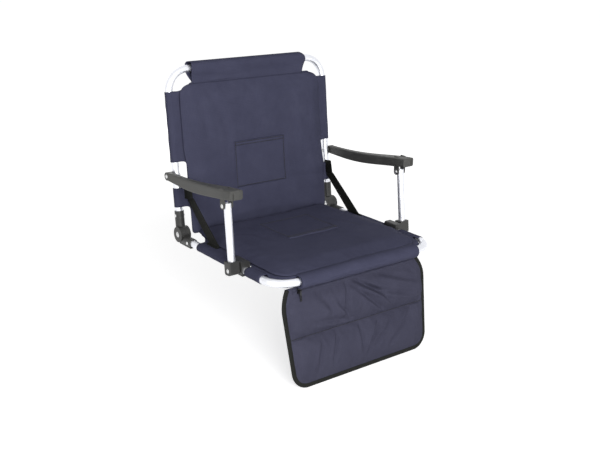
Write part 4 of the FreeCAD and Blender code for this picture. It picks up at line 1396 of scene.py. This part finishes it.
    def outline(self) -> Array:
        """The flap's edge from its top left corner round the bottom to its top right corner.

        Returns:
            Places across the flap and down it.
        """
        turn = np.linspace(0, math.pi / 2, 12)
        straight = self.height - self.corner
        down = np.concatenate([np.linspace(0, straight, 34)[:-1], straight + self.corner * np.sin(turn)])
        half = self.reach(down)
        bottom = np.linspace(-half[-1], half[-1], 50)[1:-1]
        right = grid(self.reach(down, 1), down)[::-1]
        return np.concatenate([grid(-half, down), grid(bottom, self.height), right])

    def edging(self) -> tuple[Object, float, float]:
        """Folds the binding tape over the edge.

        Returns:
            The piece, its flat area in square metres and its length in metres.
        """
        path = self.outline()
        way = np.gradient(path, axis=0)
        way /= np.linalg.norm(way, axis=1, keepdims=True)
        inward = grid(way[:, 1], -way[:, 0])
        fold = smooth_line([(9, 2.1), (5, 2.5), (1.5, 2.5), (-0.6, 1.7), (-1.0, 0), (-0.6, -1.7), (1.5, -2.5),
                            (5, -2.5), (9, -2.1)], 15)
        run = run_of(path)[:, None]
        x, down = np.moveaxis(path[:, None, :] + inward[:, None, :] * fold[None, :, 0:1], -1, 0)
        out = fold[:, 1] * (1 + 0.075 * ripple(run, fold[None, :, 0], 40, 21))
        tape = Patchwork().lay(Panel.FLAP.place(x, down, out), grid(run_of(fold)[None, :], run))
        piece = tape.piece("flap_edging")
        thicken(piece, self.binding_thickness)
        return piece, tape.area, float(run[-1, 0]) * MM

    def tape(self) -> Object:
        """Lays the zipper's tape along the top of the flap.

        Returns:
            The tape.
        """
        x = np.linspace(-self.tape_half, self.tape_half, 60)[None, :]
        down = np.linspace(*self.tape_down, 8)[:, None]
        points = Panel.FLAP.place(x, down, 2.0 + 0.15 * ripple(x, down, 50, 31))
        piece = Patchwork().lay(points, grid(down, x)).piece("zipper_tape")
        thicken(piece, self.tape_thickness)
        return piece

    def build(self) -> None:
        """Makes the flap's pieces and hangs them on its body."""
        panel = self.panel()
        attach(panel, Finish.FLAP, "seat_fabric", "flap", "flap_panel")
        attach(self.quilting(panel), Finish.THREAD, "seat_fabric", "flap")
        edging, area, length = self.edging()
        attach(edging, Finish.BINDING, "black_webbing", "flap", "flap_binding")
        tape = self.tape()
        attach(tape, Finish.FLAP, "black_webbing", "flap", "flap_zipper")
        across = np.linspace(-self.chain_half, self.chain_half, 80)
        chain = Panel.FLAP.place(across, self.chain_down, self.chain_out)
        teeth = beads("zipper_teeth", chain[None], TOOTH)
        attach(teeth, Finish.TEETH, "zipper_metal", "flap")


class Hardware:
    """The rigid pieces, whose shapes come with the frame."""

    # Words in the names of each finish's pieces; where two finishes match, the later one counts.
    finishes = {
        Finish.TUBE: ("frame_tube", "arm_post"),
        Finish.ARMREST: ("_armrest",),
        Finish.HINGE: ("knuckle", "clamp", "boot", "spacer"),
        Finish.RIVET: ("rivet", "pins"),
        Finish.ZIPPER: ("zipper_slider", "zipper_pull"),
    }

    def build(self) -> None:
        """Dresses each rigid piece in the finish of its kind."""
        for name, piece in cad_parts.items():
            for finish, words in self.finishes.items():
                if any(word in name for word in words):
                    dress(piece, finish)
            logging.info("dressed %s", name)


@dataclass
class Studio:
    """A white studio with one broad light, seen from the photograph's place; places are in metres."""

    eye: tuple[float, float, float] = (-1.3193, -1.9196, 0.7601)
    turn: float = math.radians(-37.19)
    rise: float = math.radians(18.04)
    roll: float = math.radians(0.49)
    lens: float = 53.69  # millimetres, on a sensor 36 wide
    floor_z: float = -0.2505
    floor_reach: float = 30.0
    floor_near: float = 0.9
    floor_far: float = 2.2
    world_light: float = 0.25
    middle: tuple[float, float, float] = (0.0, -0.2, 0.1)

    def camera(self) -> None:
        """Stands the camera where the photograph was taken."""
        back = Vector((math.sin(self.turn) * math.cos(self.rise), -math.cos(self.turn) * math.cos(self.rise),
                       math.sin(self.rise)))
        right = Vector((math.cos(self.turn), math.sin(self.turn), 0.0))
        up = back.cross(right)
        across = right * math.cos(self.roll) + up * math.sin(self.roll)
        upright = up * math.cos(self.roll) - right * math.sin(self.roll)
        camera = new_object("camera", bpy.data.cameras.new("camera"))
        camera.data.lens = self.lens
        camera.data.sensor_width = 36.0
        camera.matrix_world = Matrix((across, upright, back)).transposed().to_4x4()
        camera.location = self.eye
        bpy.context.scene.camera = camera

    def seen(self, tree: Tree) -> Socket:
        """Tells which rays show the studio to the eye, straight or by reflection.

        Args:
            tree: of the studio's light.

        Returns:
            1 for those rays and 0 for others.
        """
        path = add(tree, "ShaderNodeLightPath").outputs
        both = add(tree, "ShaderNodeMath", {0: path["Is Camera Ray"], 1: path["Is Glossy Ray"]},
                   operation="MAXIMUM")
        return add(tree, "ShaderNodeMath", {0: both.outputs[0], 1: path["Is Transmission Ray"]},
                   operation="MAXIMUM").outputs[0]

    def surroundings(self) -> None:
        """White to the eye, and a soft even light on the seat."""
        world = bpy.data.worlds.new("studio")
        world.use_nodes = True
        tree = world.node_tree
        tree.nodes.clear()
        strength = remap(tree, self.seen(tree), self.world_light, 1.0)
        light = add(tree, "ShaderNodeBackground", {"Color": WHITE, "Strength": strength})
        add(tree, "ShaderNodeOutputWorld", {"Surface": light.outputs[0]})
        bpy.context.scene.world = world

    def floor(self) -> None:
        """Lays a pale floor that shows the seat's shadow and turns white away from the lamps."""
        mesh = bpy.data.meshes.new("floor")
        reach = self.floor_reach
        corners = [(x * reach, y * reach, self.floor_z) for x, y in ((-1, -1), (1, -1), (1, 1), (-1, 1))]
        mesh.from_pydata(corners, [], [(0, 1, 2, 3)])
        material, tree = blank("white_paper_backdrop")
        matt = add(tree, "ShaderNodeBsdfDiffuse", {"Color": linear("#f4f4f4")})
        away = add(tree, "ShaderNodeVectorMath", {0: on_object(tree)}, operation="LENGTH")
        white = remap(tree, away.outputs["Value"], 0.64, 0.8, self.floor_near, self.floor_far)
        glow = add(tree, "ShaderNodeMath", {0: self.seen(tree), 1: white}, operation="MULTIPLY")
        light = add(tree, "ShaderNodeEmission", {"Color": WHITE, "Strength": glow.outputs[0]})
        both = add(tree, "ShaderNodeAddShader", {0: matt.outputs[0], 1: light.outputs[0]})
        add(tree, "ShaderNodeOutputMaterial", {"Surface": both.outputs[0]})
        mesh.materials.append(material)
        new_object("floor", mesh)

    def lamp(self, name: str, place: tuple[float, float, float], size: float, power: float) -> None:
        """Hangs one soft lamp, pointed at the middle of the seat.

        Args:
            name: of the lamp.
            place: where it hangs, in metres.
            size: its width in metres.
            power: in watts.
        """
        light = bpy.data.lights.new(name, "AREA")
        light.size = size
        light.energy = power
        lamp = new_object(name, light)
        lamp.location = place
        lamp.rotation_euler = (Vector(self.middle) - Vector(place)).to_track_quat("-Z", "Y").to_euler()

    def build(self) -> None:
        """Sets up the camera, the light and the floor."""
        bpy.context.scene.view_settings.view_transform = "Standard"
        self.camera()
        self.surroundings()
        self.floor()
        self.lamp("key", (-1.0, -2.9, 1.15), 1.5, 76.0)
        self.lamp("fill", (-2.4, -0.8, 1.0), 1.4, 6.0)
        self.lamp("rear", (0.9, 2.8, 0.7), 1.6, 14.0)


def pressed(left: float, right: float, low: float, high: float) -> tuple[Crease, ...]:
    """The lines that a pocket's seams press into a pad, round its four sides."""
    corners = ((left, low), (right, low), (right, high), (left, high))
    return tuple(Crease((a, b), 2.0, 4.5, 0.0) for a, b in zip(corners, corners[1:] + corners[:1]))


def pads() -> None:
    """Makes the two padded panels and their pockets."""
    back = Pad("padded_back", Panel.BACK, ("back_pad",),
               ((-6, 219), (60, 219), (95, 217), (150, 217), (185, 221), (215, 224), (379, 224)),
               ((-6, 222), (60, 224), (120, 226), (150, 222), (190, 219), (379, 219)), (
        Crease(((-145, 371), (-98, 264), (-82, 96)), 2.4, 13),
        Crease(((-177, 349), (-149, 232)), 1.8, 11),
        Crease(((84, 102), (150, 97), (212, 92)), 1.4, 9),
        Crease(((-210, 120), (-150, 104), (-90, 98)), 1.0, 9),
        Crease(((110, 345), (120, 230), (112, 150)), 1.6, 14),
        Crease(((-20, 360), (4, 290), (-6, 228)), 1.4, 14),
        Crease(((176, 350), (170, 240), (186, 120)), 1.2, 12),
        *pressed(-80, 80, 97, 219),
    ), 41)
    side = ((13, 207), (36, 211), (67, 215), (89, 218), (130, 223), (200, 226), (411, 226))
    right = (*side[:-1], (290, 226), (312, 222), (352, 210), (411, 204))
    seat = Pad("padded_seat", Panel.SEAT, ("seat_pad", "crease_gusset"), side, right, (
        Crease(((-190, 90), (-120, 150), (-100, 240)), 1.0, 12),
        Crease(((110, 120), (150, 220), (190, 320)), 0.9, 13),
        *pressed(-70, 86, 96, 232),
    ), 51, corner=46.0, toe_shoulder=62.0)
    pockets = (Pocket("back_pocket_patch", Panel.BACK, "back_pocket", 97.0),
               Pocket("seat_pocket_patch", Panel.SEAT, "seat_pocket", 96.0, 8.0, 78.0, 136.0))
    for pad, pocket in zip((back, seat), pockets):
        piece = pad.build()
        patch, stitches = pocket.build(piece)
        pad.finish(piece)
        pocket.finish(patch, stitches, piece)


def slings() -> tuple[Sling, Sling]:
    """The two stretched sheets: the seat's follows the bends of its tube, the back's stays behind its pad.

    Returns:
        The back's and the seat's.
    """
    back = Sling("back_sling_cloth", Panel.BACK, "back_sling",
                 ((30, 212), (68, 215), (70, 228), (119, 228), (121, 215), (184, 215), (186, 228), (362, 228),
                  (364, 208), (372, 196), (381, 186)), ((70, 119), (186, 362)), 61)
    bend_start, bend_half, bend = 362.0, 185.0, 46.0
    curve = [(place, bend_half + math.sqrt(bend ** 2 - (place - bend_start) ** 2))
             for place in (366, 372, 378, 385, 392, 399, 404, 407, 408)]
    seat = Sling("seat_sling_cloth", Panel.SEAT, "seat_sling",
                 ((30, 205), (60, 211), (88, 228), (247, 228), (255, 226), (287, 226), (294, 230), (301, 230),
                  (360, 228), *curve), ((88, 247), (301, 360)), 71, droop=9.0, right_more=12.0)
    return back, seat


def main() -> None:
    """Builds the seat's looks in order."""
    logging.basicConfig(level=logging.INFO, format="%(message)s")
    Studio().build()
    Hardware().build()
    pads()
    for sling in slings():
        sling.finish(*sling.build())
    top = TopSleeve()
    top.finish(*top.build())
    roll = FrontRoll()
    roll.finish(roll.build())
    for side, hand, inboard in (("left", -1, 225.0), ("right", 1, 230.0)):
        strap = Strap(side, hand, inboard)
        strap.finish(*strap.build())
    Flap().build()


if __name__ == "__main__":
    main()
